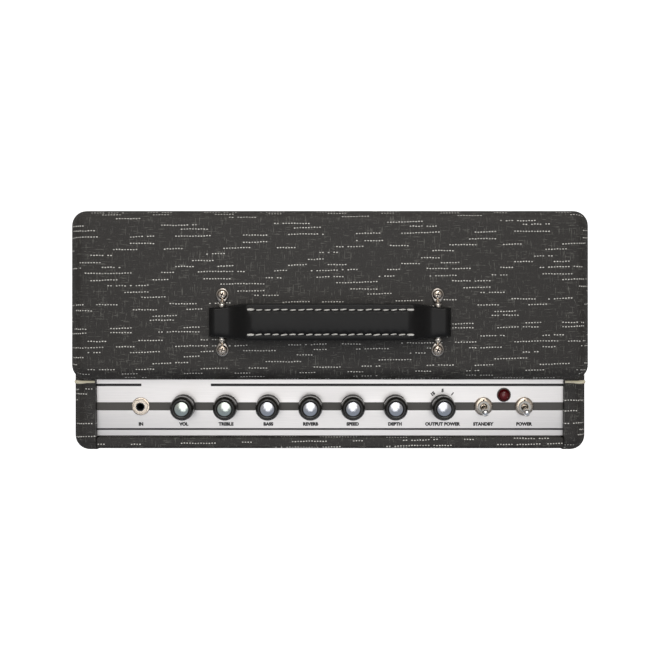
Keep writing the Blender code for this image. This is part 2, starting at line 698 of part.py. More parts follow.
def input_jack(panel):
    at = (JACK_X, 0.0, 0.0)
    place(turned("input_jack", JACK_SHAPE, "plastic"), at, panel)
    washer = bmesh.new()
    add_drum(washer, WASHER_RADIUS, GAP, WASHER_TOP, steps=ROUND_STEPS)
    nut = from_bmesh("input_jack_nut", washer, "chrome")
    place(nut, at, panel)
    hexagon = drums("jack_hexagon", [(0.0, 0.0, NUT_RADIUS)], NUT_LOW, NUT_TOP, steps=6)
    bore = drums("jack_nut_bore", [(0.0, 0.0, NUT_BORE)], -THROUGH, NUT_TOP + THROUGH)
    join(nut, place(hexagon, at, panel))
    cut(nut, place(bore, at, panel))


# Works under and inside the chassis

def circuit_board(panel):
    low = (BOARD_LOW_X, CHASSIS_REAR + BOARD_EDGE, BOARD_TOP - CIRCUIT_BOARD)
    high = (BOARD_HIGH_X, CHASSIS_FRONT - BOARD_EDGE, BOARD_TOP)
    board = box("circuit_board", low, high, "circuit")
    place(board, parent=panel)
    xs = [CAPACITOR_FIRST_X + CAPACITOR_PITCH * index for index in range(CAPACITORS)]
    cans = [(x, CAPACITOR_Y, CAPACITOR_RADIUS) for x in xs]
    bottom = BOARD_TOP - CIRCUIT_BOARD - CAPACITOR_LENGTH
    parts = drums("board_capacitors", cans, bottom, BOARD_TOP - OVERLAP, COARSE_STEPS)
    join(board, place(parts, parent=panel))


def under_chassis(name, shape, x, colour, panel):
    """A turned piece whose heights are measured from the chassis's underside."""
    place(turned(name, shape, colour), (x, 0.0, 0.0), panel).delta_location.z = CHASSIS_BOTTOM


def tubes(panel):
    """Each tube's narrow base stands in its hole in the chassis floor."""
    for index, x in enumerate(PREAMP_TUBES, start=1):
        under_chassis(f"preamp_tube_{index}", PREAMP_TUBE_SHAPE, x, "glass", panel)
    under_chassis("power_tube", POWER_TUBE_SHAPE, POWER_TUBE_X, "glass", panel)


def transformer(name, x, half_size, height, panel):
    """A block of laminations with an end bell standing out of each side of it."""
    half_x, half_y = half_size
    low = (-half_x, -half_y, UNDER - height * CORE_END)
    core = box(name, low, (half_x, half_y, UNDER - height * CORE_START), "steel")
    bell_x = half_x - BELL_INSET
    bell_y = half_y - BELL_INSET
    bell = box_bmesh((-bell_x, -bell_y, UNDER - height), (bell_x, bell_y, UNDER))
    round_edges(bell, lambda a, b: near(a.z, b.z) and near(a.z, UNDER - height), BELL_ROUND, 2)
    at = (x, TRANSFORMER_Y, 0.0)
    join(core, place(from_bmesh(name + "_bells", bell), at, panel))
    place(core, at, panel)


def power_inlet(panel):
    """A mains socket facing down, with three blades and a fuse drawer beside them."""
    at = (INLET_X, INLET_Y, 0.0)
    flange = place(box("power_inlet", *INLET_FLANGE, "plastic"), at, panel)
    join(flange, place(box("inlet_body", *INLET_BODY), at, panel))
    for name, limits in (("inlet_socket", INLET_SOCKET), ("drawer_pocket", DRAWER_POCKET)):
        cut(flange, place(box(name, *limits), at, panel))
    half_x, half_y = BLADE_HALF
    low_z, high_z = BLADE_ENDS
    for index, (x, y) in enumerate(BLADES):
        blade = box(f"blade_{index}", (x - half_x, y - half_y, low_z), (x + half_x, y + half_y, high_z))
        join(flange, place(blade, at, panel))
    drawer = place(box("fuse_drawer", *DRAWER, "plastic"), at, panel)
    join(drawer, place(box("drawer_lip", *DRAWER_LIP), at, panel))


def rear_jacks(panel):
    for name, x in REAR_JACKS.items():
        under_chassis(name + "_jack", REAR_JACK_SHAPE, x, "plastic", panel)


def reverb_tank():
    """A thin steel tray upside down on the cabinet floor, with two sockets on its rear side."""
    low = FLOOR_Z + GAP
    bm = box_bmesh((-TANK_HALF_LENGTH, TANK_REAR, low), (TANK_HALF_LENGTH, TANK_FRONT, TANK_TOP))
    open_side = [face for face in bm.faces if near(face.calc_center_median().z, low)]
    bmesh.ops.delete(bm, geom=open_side, context="FACES_ONLY")
    tank = from_bmesh("reverb_tank", bm, "steel")
    fold(tank, TANK_SHEET)
    for x in TANK_SOCKETS:
        ends = [(x, TANK_REAR - TANK_SOCKET_LENGTH, TANK_SOCKET_Z), (x, TANK_REAR + OVERLAP, TANK_SOCKET_Z)]
        join(tank, tube("tank_socket", ends, TANK_SOCKET_RADIUS))


def cabinet():
    top_board()
    side_board("left_side_board", -1)
    side_board("right_side_board", 1)
    for name, side in (("left_side_piping", -1), ("right_side_piping", 1)):
        tube(name, piping_route(side, 0.0, PIPE_FOOT), PIPE, "cream")
    bottom_board()
    front()
    rear_panels()
    feet()


def control_panel():
    panel = place(bpy.data.objects.new("panel_frame", None), (0.0, PANEL_Y, PANEL_Z), tilt=PANEL_TILT)
    PARTS.objects.link(panel)
    faceplate(panel)
    chassis(panel)
    rotary_controls(panel)
    for name, x in SWITCHES.items():
        toggle(name, x, panel)
    pilot_lamp(panel)
    input_jack(panel)
    circuit_board(panel)
    tubes(panel)
    transformer("output_transformer", OUTPUT_TRANSFORMER_X, (0.026, 0.022), 0.040, panel)
    transformer("power_transformer", POWER_TRANSFORMER_X, (0.036, 0.026), 0.060, panel)
    power_inlet(panel)
    rear_jacks(panel)


cabinet()
handle()
control_panel()
reverb_tank()
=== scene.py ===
"""Guitar amp head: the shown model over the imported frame, in metres, seen from straight above."""
import json
import math

import bmesh
import bpy
from mathutils import Matrix, Vector

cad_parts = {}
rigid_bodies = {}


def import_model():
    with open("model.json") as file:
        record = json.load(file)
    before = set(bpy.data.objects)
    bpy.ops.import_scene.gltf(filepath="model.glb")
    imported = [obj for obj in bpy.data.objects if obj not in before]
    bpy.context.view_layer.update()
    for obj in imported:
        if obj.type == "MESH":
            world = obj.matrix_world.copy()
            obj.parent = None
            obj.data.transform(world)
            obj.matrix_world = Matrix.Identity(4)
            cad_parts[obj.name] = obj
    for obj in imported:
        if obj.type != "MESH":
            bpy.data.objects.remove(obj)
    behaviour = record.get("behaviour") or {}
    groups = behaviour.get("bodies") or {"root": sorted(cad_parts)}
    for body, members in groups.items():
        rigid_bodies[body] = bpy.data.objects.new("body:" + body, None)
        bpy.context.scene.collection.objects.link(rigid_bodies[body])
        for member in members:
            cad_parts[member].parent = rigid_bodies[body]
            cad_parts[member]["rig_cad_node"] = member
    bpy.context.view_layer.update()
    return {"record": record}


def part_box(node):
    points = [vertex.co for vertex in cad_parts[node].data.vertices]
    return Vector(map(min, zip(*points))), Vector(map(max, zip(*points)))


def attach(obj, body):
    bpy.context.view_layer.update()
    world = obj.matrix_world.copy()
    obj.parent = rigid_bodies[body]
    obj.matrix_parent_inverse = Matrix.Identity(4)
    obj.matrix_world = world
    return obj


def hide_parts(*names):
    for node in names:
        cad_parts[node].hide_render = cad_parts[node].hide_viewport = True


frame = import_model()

MM = 0.001
JOINTS = {joint["name"]: joint for joint in frame["record"]["behaviour"]["joints"]}

# The control panel's own frame: X along it, Y up its slope, Z out of its face
NORMAL = Vector(JOINTS["volume_turn"]["axis"]).normalized()
SLOPE = Vector((0.0, NORMAL.z, -NORMAL.y))
ORIGIN = Vector(JOINTS["volume_turn"]["pos_m"])
ORIGIN.x = 0.0
PANEL = Matrix.Translation(ORIGIN) @ Matrix((Vector((1, 0, 0)), SLOPE, NORMAL)).transposed().to_4x4()
KNOBS = ("volume", "treble", "bass", "reverb", "speed", "depth", "output_power")
SWITCHES = ("standby", "power")

# Covering
TOP_ROUND = 0.013
CORNER = 0.015
SEGMENTS = 8
ROW_MM = 6.07            # between the rows of dashes
PERIOD_MM = 113.6        # a row repeats after this
DOT_MM = 2.83

# Printing on the faceplate, in the panel's own frame
STRIPE_HALF = 0.00415
UPPER_LINE = 0.0220
UPPER_LINE_HALF = 0.0013
UPPER_LINE_GAP = (-0.1924, -0.1215)
LOWER_LINE = -0.0234
LOWER_LINE_HALF = 0.00095
LABEL_Y = -0.0197
LABEL_HEIGHT = 0.0031
DIAL_DEGREES = 38.0      # between the numbers at the output power knob
DIAL_REACH = 0.0148
DIAL_HEIGHT = 0.0030

# Mains inlet, in millimetres
MIDDLE_BLADE_MM = 1.15           # half its width
OUTER_BLADE_MM = (5.9, 8.1)      # the sides of an outer blade, from the middle
BLADE_ROOM_MM = (8.6, 19.5)      # from the inlet's rear

# Handle
STITCH_Y = 0.0121
STITCH_END = 0.0804
STITCH_PITCH = 0.00830
PAD_HALF = 0.0124        # half the width of the padded middle
ROD_RADIUS = 0.0030

LEVER_TILT = 12.0        # degrees from the panel's normal, at rest
TUBE_BASE_Z = -0.0620    # in the panel's own frame
PANEL_SCREW_END = 0.014  # from the end of a rear panel


# Node materials

def operator(operation, swapped=False):
    def apply(self, *others):
        values = (*others, self) if swapped else (self, *others)
        return self.graph.math(operation, *values)
    return apply


class Field:
    """One output of a material's node tree, with arithmetic."""

    __add__ = __radd__ = operator("ADD")
    __sub__ = operator("SUBTRACT")
    __rsub__ = operator("SUBTRACT", swapped=True)
    __mul__ = __rmul__ = operator("MULTIPLY")
    __truediv__ = operator("DIVIDE")
    __abs__ = operator("ABSOLUTE")
    floor = operator("FLOOR")
    fract = operator("FRACT")
    sin = operator("SINE")
    power = operator("POWER")
    over = operator("GREATER_THAN")
    under = operator("LESS_THAN")
    largest = operator("MAXIMUM")

    def __init__(self, graph, socket):
        self.graph = graph
        self.socket = socket

    def ramp(self, low, high):
        """0 below low, 1 above high and smooth between; low may be the larger."""
        values = (self, low, high, 0.0, 1.0)
        return self.graph.made("ShaderNodeMapRange", values, interpolation_type="SMOOTHSTEP")


class Graph:
    """A node tree that ends in one Principled shader."""

    def __init__(self, name, **settings):
        self.material = bpy.data.materials.new(name)
        self.material.use_nodes = True
        self.tree = self.material.node_tree
        self.shader = self.tree.nodes["Principled BSDF"]
        self.use(**settings)

    def node(self, kind, **settings):
        made = self.tree.nodes.new(kind)
        for key, value in settings.items():
            setattr(made, key, value)
        return made

    def feed(self, socket, value):
        if isinstance(value, Field):
            self.tree.links.new(value.socket, socket)
        elif isinstance(value, tuple) and len(value) == 3 and socket.type == "RGBA":
            socket.default_value = (*value, 1.0)
        else:
            socket.default_value = value

    def use(self, **settings):
        """Sets the shader's inputs, named with underscores for spaces."""
        for key, value in settings.items():
            self.feed(self.shader.inputs[key.replace("_", " ")], value)

    def made(self, kind, values, **settings):
        """The first output of a new node whose inputs are fed in order."""
        node = self.node(kind, **settings)
        for socket, value in zip(node.inputs, values):
            self.feed(socket, value)
        return Field(self, node.outputs[0])

    def math(self, operation, *values):
        return self.made("ShaderNodeMath", values, operation=operation)

    def vector(self, x, y, z=0.0):
        return self.made("ShaderNodeCombineXYZ", (x, y, z))

    def place(self, output="Object"):
        """The three coordinates, in millimetres."""
        split = self.node("ShaderNodeSeparateXYZ")
        self.tree.links.new(self.node("ShaderNodeTexCoord").outputs[output], split.inputs[0])
        return [Field(self, socket) * 1000.0 for socket in split.outputs]

    def noise(self, at, scale=1.0, detail=2.0, roughness=0.5, distortion=0.0):
        node = self.node("ShaderNodeTexNoise")
        names = ("Vector", "Scale", "Detail", "Roughness", "Distortion")
        for name, value in zip(names, (at, scale, detail, roughness, distortion)):
            self.feed(node.inputs[name], value)
        return Field(self, node.outputs[0])

    def cells(self, at, scale=1.0, feature="F1"):
        node = self.node("ShaderNodeTexVoronoi", feature=feature)
        self.feed(node.inputs["Vector"], at)
        self.feed(node.inputs["Scale"], scale)
        return Field(self, node.outputs[0])

    def random(self, x, y=0.0, z=0.0):
        return self.made("ShaderNodeTexWhiteNoise", (self.vector(x, y, z),), noise_dimensions="3D")

    def mix(self, share, first, second):
        node = self.node("ShaderNodeMix", data_type="RGBA")
        self.feed(node.inputs["Factor"], share)
        colours = [socket for socket in node.inputs if socket.type == "RGBA"]
        self.feed(colours[0], first)
        self.feed(colours[1], second)
        return Field(self, [socket for socket in node.outputs if socket.type == "RGBA"][0])

    def bump(self, height_mm, strength=1.0):
        """Surface relief from a height in millimetres."""
        node = self.node("ShaderNodeBump")
        self.feed(node.inputs["Height"], height_mm * MM)
        node.inputs["Distance"].default_value = 1.0
        node.inputs["Strength"].default_value = strength
        self.feed(self.shader.inputs["Normal"], Field(self, node.outputs[0]))


def dashes(g, u, v):
    """Rows of short dotted runs, 1 on a dot, with u and v in millimetres."""
    v = v - u * 0.014
    row = (v / ROW_MM + 0.5).floor()
    cell = (u / DOT_MM).floor()
    along = cell * (DOT_MM / PERIOD_MM)
    first = g.random(row, 1.7)
    on_first = (along - first).fract().under(0.15 + 0.26 * g.random(row, 2.3))
    second = first + 0.42 + 0.25 * g.random(row, 3.9)
    length = (0.10 + 0.18 * g.random(row, 4.1)) * g.random(row, 5.5).over(0.45)
    on_second = (along - second).fract().under(length)
    kept = g.random(cell, row, 7.3).over(0.05)
    wave = 0.30 * (u * 0.09 + row * 4.0).sin() + (g.random(cell, row, 2.0) - 0.5) * 0.42
    high = (v - row * ROW_MM - (g.random(row, 6.2) - 0.5) * 2.6 + wave) / 0.54
    wide = ((u / DOT_MM).fract() - 0.5) * DOT_MM / 0.84
    shape = (high * high + (wide * wide).power(2.0)).ramp(1.15, 0.55)
    return shape * on_first.largest(on_second) * kept * (0.62 + 0.55 * g.random(cell, row, 9.1))


def vinyl():
    g = Graph("vinyl", Specular_IOR_Level=0.34)
    u, v = g.place("UV")[:2]
    at = g.vector(u, v)
    grain = g.cells(at, 1.05, "SMOOTH_F1")
    fine = g.noise(at, 1.3, 3.0, 0.65)
    warp = g.noise(g.vector(u * 0.085, v * 0.80), 1.0, 2.0, 0.6).ramp(0.600, 0.665)
    weft = g.noise(g.vector(u * 0.80, v * 0.085), 1.0, 2.0, 0.6).ramp(0.600, 0.665)
    patch = g.noise(at, 0.022, 2.0, 0.6).ramp(0.36, 0.60)
    hatch = warp.largest(weft) * (0.45 + 0.55 * patch) * fine.ramp(0.30, 0.58)
    base = g.mix(fine.ramp(0.25, 0.75), (0.0070, 0.0062, 0.0055), (0.052, 0.0470, 0.0425))
    slub = g.mix(hatch, base, (0.150, 0.146, 0.130))
    dots = dashes(g, u, v)
    g.use(Base_Color=g.mix(dots, slub, (0.90, 0.88, 0.82)), Roughness=0.42 + 0.22 * fine)
    g.bump(0.16 * grain + 0.10 * fine + 0.22 * dots + 0.05 * warp, 0.55)
    return g.material


def cord():
    g = Graph("cream_cord", Roughness=0.38)
    at = g.vector(*g.place())
    wear = g.noise(at, 0.25, 4.0, 0.6)
    g.use(Base_Color=g.mix(wear.ramp(0.35, 0.75), (0.97, 0.90, 0.68), (0.90, 0.79, 0.54)))
    g.bump(0.03 * g.noise(at, 2.2, 2.0) + 0.04 * wear)
    return g.material


def leather():
    g = Graph("black_leather", Specular_IOR_Level=0.20)
    x, y, z = g.place()
    at = g.vector(x, y, z)
    pores = g.cells(at, 1.5)
    crease = g.noise(g.vector(x * 0.35, y, z), 0.35, 4.0, 0.6, 0.4)
    sheen = g.noise(at, 0.05, 3.0)
    g.use(Base_Color=g.mix(crease, (0.0050, 0.0048, 0.0047), (0.0105, 0.0100, 0.0098)),
          Roughness=0.27 + 0.12 * sheen + 0.08 * crease)
    g.bump(0.045 * pores + 0.07 * crease, 0.45)
    return g.material


def thread():
    g = Graph("waxed_thread", Roughness=0.55)
    x, y = g.place()[:2]
    twist = (x * 5.0 + y * 3.0).sin()
    g.use(Base_Color=g.mix(twist.ramp(-0.8, 0.8), (0.62, 0.60, 0.55), (0.84, 0.82, 0.78)))
    g.bump(0.12 * twist)
    return g.material


def nickel(name="nickel", tint=(0.78, 0.73, 0.66), polish=0.14):
    g = Graph(name, Metallic=1.0)
    x, y, z = g.place()
    at = g.vector(x, y, z)
    smear = g.noise(at, 0.6, 4.0, 0.6)
    scratch = g.noise(g.vector(x * 0.7, y * 9.0, z), 1.0, 2.0)
    dull = tuple(part * 0.78 for part in tint)
    g.use(Base_Color=g.mix(smear.ramp(0.45, 0.8), tint, dull), Roughness=polish + 0.16 * smear.ramp(0.4, 0.8))
    g.bump(0.006 * scratch)
    return g.material


def between(value, low, high, soft=0.08):
    """1 where a Field lies between low and high."""
    return value.ramp(low - soft, low + soft) * value.ramp(high + soft, high - soft)


def faceplate():
    """Brushed along X, with the printed stripe and lines."""
    g = Graph("brushed_panel", Metallic=1.0, Anisotropic=0.55)
    x, y, z = g.place()
    up = (y - ORIGIN.y * 1000) * SLOPE.y + (z - ORIGIN.z * 1000) * SLOPE.z
    streak = g.noise(g.vector(x * 0.012, up * 2.4), 1.0, 4.0, 0.65)
    fine = g.noise(g.vector(x * 0.05, up * 9.0), 1.0, 2.0, 0.6)
    stain = g.noise(g.vector(x, up), 0.045, 3.0, 0.6)
    metal = g.mix(streak.ramp(0.25, 0.75), (0.740, 0.715, 0.700), (0.830, 0.805, 0.788))
    metal = g.mix(fine.ramp(0.35, 0.8) * 0.35, metal, (0.60, 0.585, 0.575))
    metal = g.mix(stain.ramp(0.55, 0.8) * 0.18, metal, (0.60, 0.60, 0.61))
    gap = between(x, UPPER_LINE_GAP[0] * 1000, UPPER_LINE_GAP[1] * 1000)
    upper = between(up, (UPPER_LINE - UPPER_LINE_HALF) * 1000, (UPPER_LINE + UPPER_LINE_HALF) * 1000)
    lower = between(up, (LOWER_LINE - LOWER_LINE_HALF) * 1000, (LOWER_LINE + LOWER_LINE_HALF) * 1000)
    stripe = between(up, -STRIPE_HALF * 1000, STRIPE_HALF * 1000)
    thin = (upper * (1.0 - gap)).largest(lower)
    edge = stripe * (1.0 - between(up, -STRIPE_HALF * 1000 + 0.5, STRIPE_HALF * 1000 - 0.5, 0.2))
    grey = g.mix(edge, g.mix(fine, (0.070, 0.064, 0.058), (0.092, 0.085, 0.077)), (0.045, 0.040, 0.036))
    ink = g.mix(stripe, (0.012, 0.011, 0.011), grey)
    printed = stripe.largest(thin)
    g.use(Base_Color=g.mix(printed, metal, ink), Metallic=1.0 - printed,
          Roughness=(0.30 + 0.18 * streak) * (1.0 - printed) + 0.52 * printed)
    g.bump(0.010 * fine + 0.012 * streak + 0.02 * printed, 0.5)
    return g.material


def ink():
    g = Graph("printed_ink", Roughness=0.5)
    worn = g.noise(g.vector(*g.place()), 3.0, 3.0)
    g.use(Base_Color=g.mix(worn.ramp(0.5, 0.8), (0.018, 0.016, 0.016), (0.05, 0.046, 0.044)))
    g.bump(0.01 * worn)
    return g.material


def knob_plastic():
    g = Graph("glossy_plastic", Roughness=0.14, Specular_IOR_Level=0.55)
    x, y, z = g.place()
    at = g.vector(x, y, z)
    haze = g.noise(at, 0.4, 4.0, 0.6)
    wall = z.under(14.5)
    g.use(Base_Color=g.mix(haze, (0.0075, 0.0070, 0.0060), (0.019, 0.0178, 0.0148)),
          Roughness=0.10 + 0.16 * haze + 0.50 * wall)
    g.bump(0.010 * g.noise(at, 3.0, 2.0))
    return g.material


def spun(name, tint):
    """Metal turned on a lathe: fine rings about the object's own Z."""
    g = Graph(name, Metallic=1.0, Anisotropic=0.75)
    x, y, z = g.place()
    reach = (x * x + y * y).power(0.5)
    rings = g.noise(g.vector(reach * 7.0, 0.0), 1.0, 2.0, 0.6)
    smear = g.noise(g.vector(x, y, z), 0.5, 3.0)
    dull = tuple(part * 0.80 for part in tint)
    g.use(Base_Color=g.mix(rings, tint, dull), Roughness=0.13 + 0.08 * smear)
    tangent = g.node("ShaderNodeTangent", direction_type="RADIAL", axis="Z")
    g.tree.links.new(tangent.outputs[0], g.shader.inputs["Tangent"])
    g.bump(0.006 * rings, 0.4)
    return g.material


def moulded(name="moulded_plastic", colour=(0.018, 0.018, 0.018), gloss=0.42):
    g = Graph(name)
    at = g.vector(*g.place())
    grain = g.noise(at, 1.6, 4.0, 0.6)
    pale = tuple(part * 1.7 for part in colour)
    g.use(Base_Color=g.mix(grain, colour, pale), Roughness=gloss + 0.15 * grain)
    g.bump(0.03 * grain)
    return g.material


def sheet_metal(name="plated_steel", colour=(0.50, 0.49, 0.46)):
    g = Graph(name, Metallic=1.0)
    x, y, z = g.place()
    at = g.vector(x, y, z)
    spangle = g.cells(at, 0.12)
    smear = g.noise(at, 0.06, 4.0, 0.6)
    roll = g.noise(g.vector(x * 0.05, y * 1.5, z * 1.5), 1.0, 3.0)
    dull = tuple(part * 0.7 for part in colour)
    g.use(Base_Color=g.mix(smear, colour, dull), Roughness=0.30 + 0.16 * roll + 0.10 * spangle)
    g.bump(0.012 * roll + 0.01 * spangle)
    return g.material


def laminations():
    """Stacked iron sheets: fine ridges along Z all over, on a dark mottled finish."""
    g = Graph("transformer_iron", Roughness=0.5)
    x, y, z = g.place()
    sheets = (z * 2.0).fract()
    wear = g.noise(g.vector(x, y, z), 0.15, 4.0, 0.6)
    g.use(Base_Color=g.mix(wear, (0.018, 0.018, 0.020), (0.050, 0.048, 0.046)),
          Roughness=0.38 + 0.25 * wear)
    g.bump(0.05 * between(sheets, 0.2, 0.8) + 0.04 * wear)
    return g.material


def circuit():
    """Green board with copper tracks on its plate, and sleeved capacitors below it."""
    g = Graph("circuit_board_finish", Roughness=0.4)
    x, y, z = g.place()
    up = (z - ORIGIN.z * 1000) * NORMAL.z + (y - ORIGIN.y * 1000) * NORMAL.y
    tracks = g.cells(g.vector(x, y), 0.16, "DISTANCE_TO_EDGE").under(0.07)
    wear = g.noise(g.vector(x, y, z), 0.4, 3.0)
    board = g.mix(tracks * 0.7, (0.012, 0.085, 0.035), (0.04, 0.19, 0.07))
    sleeve = g.mix(wear, (0.012, 0.03, 0.11), (0.02, 0.045, 0.16))
    g.use(Base_Color=g.mix(up.over(-17.8), sleeve, board))
    g.bump(0.05 * tracks + 0.02 * wear)
    return g.material


def inlet():
    """Black moulding whose blades, inside its socket, are metal."""
    low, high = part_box("power_inlet")
    centre = (low.x + high.x) * 500
    g = Graph("inlet_moulding")
    x, y, z = g.place()
    wear = g.noise(g.vector(x, y, z), 0.8, 4.0, 0.6)
    side = abs(x - centre)
    blade = side.under(MIDDLE_BLADE_MM).largest(between(side, *OUTER_BLADE_MM, 0.01))
    deep = between(z, low.z * 1000 + 3.0, high.z * 1000 - 1.0, 0.05)
    inside = between(y, *(low.y * 1000 + reach for reach in BLADE_ROOM_MM), 0.05)
    brass = blade * deep * inside
    black = g.mix(wear, (0.016, 0.016, 0.016), (0.034, 0.033, 0.032))
    g.use(Base_Color=g.mix(brass, black, (0.75, 0.70, 0.58)), Metallic=brass, Roughness=0.42 + 0.1 * wear)
    g.bump(0.03 * wear)
    return g.material


def rubber():
    g = Graph("rubber_moulding", Roughness=0.75)
    dust = g.noise(g.vector(*g.place()), 0.5, 5.0, 0.65)
    g.use(Base_Color=g.mix(dust, (0.012, 0.012, 0.012), (0.040, 0.038, 0.036)), Roughness=0.65 + 0.2 * dust)
    g.bump(0.05 * dust)
    return g.material


def stained_wood():
    g = Graph("stained_plywood", Roughness=0.6)
    x, y, z = g.place()
    rings = g.noise(g.vector(x * 0.01, y * 0.3, z * 0.3), 1.0, 4.0, 0.6, 1.5)
    g.use(Base_Color=g.mix((rings * 9.0).fract(), (0.020, 0.017, 0.015), (0.050, 0.043, 0.037)))
    g.bump(0.04 * (rings * 9.0).fract())
    return g.material


def grille_weave():
    """Coarse plain weave of dark cord with a silver fleck, painted darker down between the cords as painted
    shade.
    """
    g = Graph("grille_weave", Roughness=0.8)
    x, _, z = g.place()
    across = (x / 1.6).floor()
    upward = (z / 1.6).floor()
    over = ((across + upward) * 0.5).fract().over(0.25)
    column = ((x / 1.6).fract() - 0.5) * 2.0
    line = ((z / 1.6).fract() - 0.5) * 2.0
    height = over * (1.0 - column * column) + (1.0 - over) * (1.0 - line * line)
    fleck = g.random(across * over + 0.5, upward * (1.0 - over) + 0.5, over)
    # darker in the hollows between cords, lighter on their crowns: painted shade
    dark = g.mix(height, (0.008, 0.008, 0.009), (0.055, 0.053, 0.050))
    g.use(Base_Color=g.mix(fleck.over(0.86) * height, dark, (0.42, 0.41, 0.38)))
    g.bump(0.35 * height, 0.8)
    return g.material


def lens():
    g = Graph("red_lens", Roughness=0.06, Transmission_Weight=0.45, IOR=1.49)
    x, y, z = g.place()
    reach = (x * x + y * y).power(0.5)
    facets = g.cells(g.vector(x, y, z), 0.9)
    g.use(Base_Color=g.mix(reach.ramp(1.0, 5.5), (0.20, 0.003, 0.007), (0.07, 0.001, 0.003)),
          Emission_Color=(0.30, 0.0, 0.004), Emission_Strength=0.05)
    g.bump(0.04 * facets)
    return g.material


def glass():
    """Clear, with the silvered getter patch at its far end."""
    g = Graph("tube_glass", Roughness=0.02, IOR=1.47, Transmission_Weight=1.0)
    x, y, z = g.place()
    smoke = g.noise(g.vector(x, y, z), 0.25, 3.0)
    silver = (z + 6.0 * smoke).under(-45.0)
    g.use(Base_Color=g.mix(silver, g.mix(smoke, (0.96, 0.98, 0.97), (0.86, 0.90, 0.89)), (0.55, 0.55, 0.56)),
          Metallic=silver * 0.95, Roughness=0.02 + 0.12 * silver)
    return g.material


def electrode():
    g = Graph("electrode_grey", Metallic=0.6)
    x, y, z = g.place()
    soot = g.noise(g.vector(x, y, z), 0.8, 3.0)
    rib = (z * 0.6).fract()
    g.use(Base_Color=g.mix(soot, (0.09, 0.09, 0.095), (0.19, 0.19, 0.20)), Roughness=0.5 + 0.2 * soot)
    g.bump(0.10 * between(rib, 0.3, 0.7))
    return g.material


# Shapes

def link(name, data, material, body="cabinet", matrix=None, at_angle=35.0):
    made = bpy.data.objects.new(name, data)
    bpy.context.scene.collection.objects.link(made)
    data.materials.clear()
    data.materials.append(material)
    if isinstance(data, bpy.types.Mesh):
        data.shade_smooth()
        data.set_sharp_from_angle(angle=math.radians(at_angle))
    if matrix is not None:
        made.matrix_world = matrix
    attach(made, body)
    return made


def stands_for(piece, slot, *nodes):
    """Hides the CAD nodes that a piece stands in for; the piece and the slot are not used."""
    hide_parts(*nodes)


def mesh_of(name, verts, faces):
    data = bpy.data.meshes.new(name)
    data.from_pydata([tuple(vert) for vert in verts], [], faces)
    bm = bmesh.new()
    bm.from_mesh(data)
    bmesh.ops.recalc_face_normals(bm, faces=bm.faces)
    bm.to_mesh(data)
    bm.free()
    return data


def from_bmesh(name, bm):
    bmesh.ops.recalc_face_normals(bm, faces=bm.faces)
    data = bpy.data.meshes.new(name)
    bm.to_mesh(data)
    bm.free()
    return data


def softened(profile, radius, steps=3):
    """The profile with each inner corner replaced by a small curve."""
    points = [Vector(point) for point in profile]
    result = [points[0]]
    for before, here, after in zip(points, points[1:], points[2:]):
        back = before - here
        on = after - here
        start = here + back.normalized() * min(radius, back.length * 0.45)
        end = here + on.normalized() * min(radius, on.length * 0.45)
        for step in range(steps + 1):
            t = step / steps
            result.append(start * (1 - t) ** 2 + here * 2 * t * (1 - t) + end * t ** 2)
    return result + [points[-1]]


def rings_mesh(name, rings, closed=False):
    """Skins rings of points; a ring of one point is a tip."""
    verts = []
    starts = []
    for ring in rings:
        starts.append(len(verts))
        verts += ring
    faces = []
    pairs = list(zip(range(len(rings)), range(1, len(rings))))
    if closed:
        pairs.append((len(rings) - 1, 0))
    for low, high in pairs:
        count = max(len(rings[low]), len(rings[high]))
        for index in range(count):
            after = (index + 1) % count
            corners = []
            for ring, spot in ((low, index), (low, after), (high, after), (high, index)):
                vert = starts[ring] + (spot if len(rings[ring]) > 1 else 0)
                if vert not in corners:
                    corners.append(vert)
            if len(corners) > 2:
                faces.append(corners)
    if not closed:
        for ring, start in ((rings[0], starts[0]), (rings[-1], starts[-1])):
            if len(ring) > 2:
                faces.append(list(range(start, start + len(ring))))
    return mesh_of(name, verts, faces)


def circle(radius, height, steps):
    if radius < 1e-6:
        return [Vector((0.0, 0.0, height))]
    angles = [math.tau * step / steps for step in range(steps)]
    return [Vector((radius * math.cos(angle), radius * math.sin(angle), height)) for angle in angles]


def lathe(name, profile, steps=64, soft=0.0003, ring=False):
    """Turned about Z from (radius, height) points; a ring's profile closes on itself."""
    if ring:
        points = softened([profile[-1], *profile, profile[0]], soft)[1:-1]
    else:
        points = softened(profile, soft)
    return rings_mesh(name, [circle(r, z, steps) for r, z in points], closed=ring)


def turned(name, profile, material, at=None, body="cabinet", steps=48, soft=0.0002, ring=False):
    """Links a piece turned on the lathe."""
    return link(name, lathe(name, profile, steps, soft, ring), material, body, at)


def stack(name, outline, levels):
    """Copies of a flat outline, each as (scale, height), skinned and closed."""
    rings = [[Vector((x * scale, y * scale, height)) for x, y in outline] for scale, height in levels]
    return rings_mesh(name, rings)


def block(name, low, high, rounds=()):
    """A box as a bmesh; rounds are (test of an edge's two ends, radius)."""
    bm = bmesh.new()
    bmesh.ops.create_cube(bm, size=1.0)
    bmesh.ops.scale(bm, vec=Vector(high) - Vector(low), verts=bm.verts)
    bmesh.ops.translate(bm, vec=(Vector(high) + Vector(low)) / 2, verts=bm.verts)
    for test, radius in rounds:
        edges = [edge for edge in bm.edges if test(edge.verts[0].co, edge.verts[1].co)]
        bmesh.ops.bevel(bm, geom=edges, offset=radius, segments=SEGMENTS, profile=0.5, affect="EDGES")
    return from_bmesh(name, bm)


def same(a, b):
    return abs(a - b) < 1e-5


def upright(a, b):
    return same(a.x, b.x) and same(a.y, b.y) and not same(a.z, b.z)


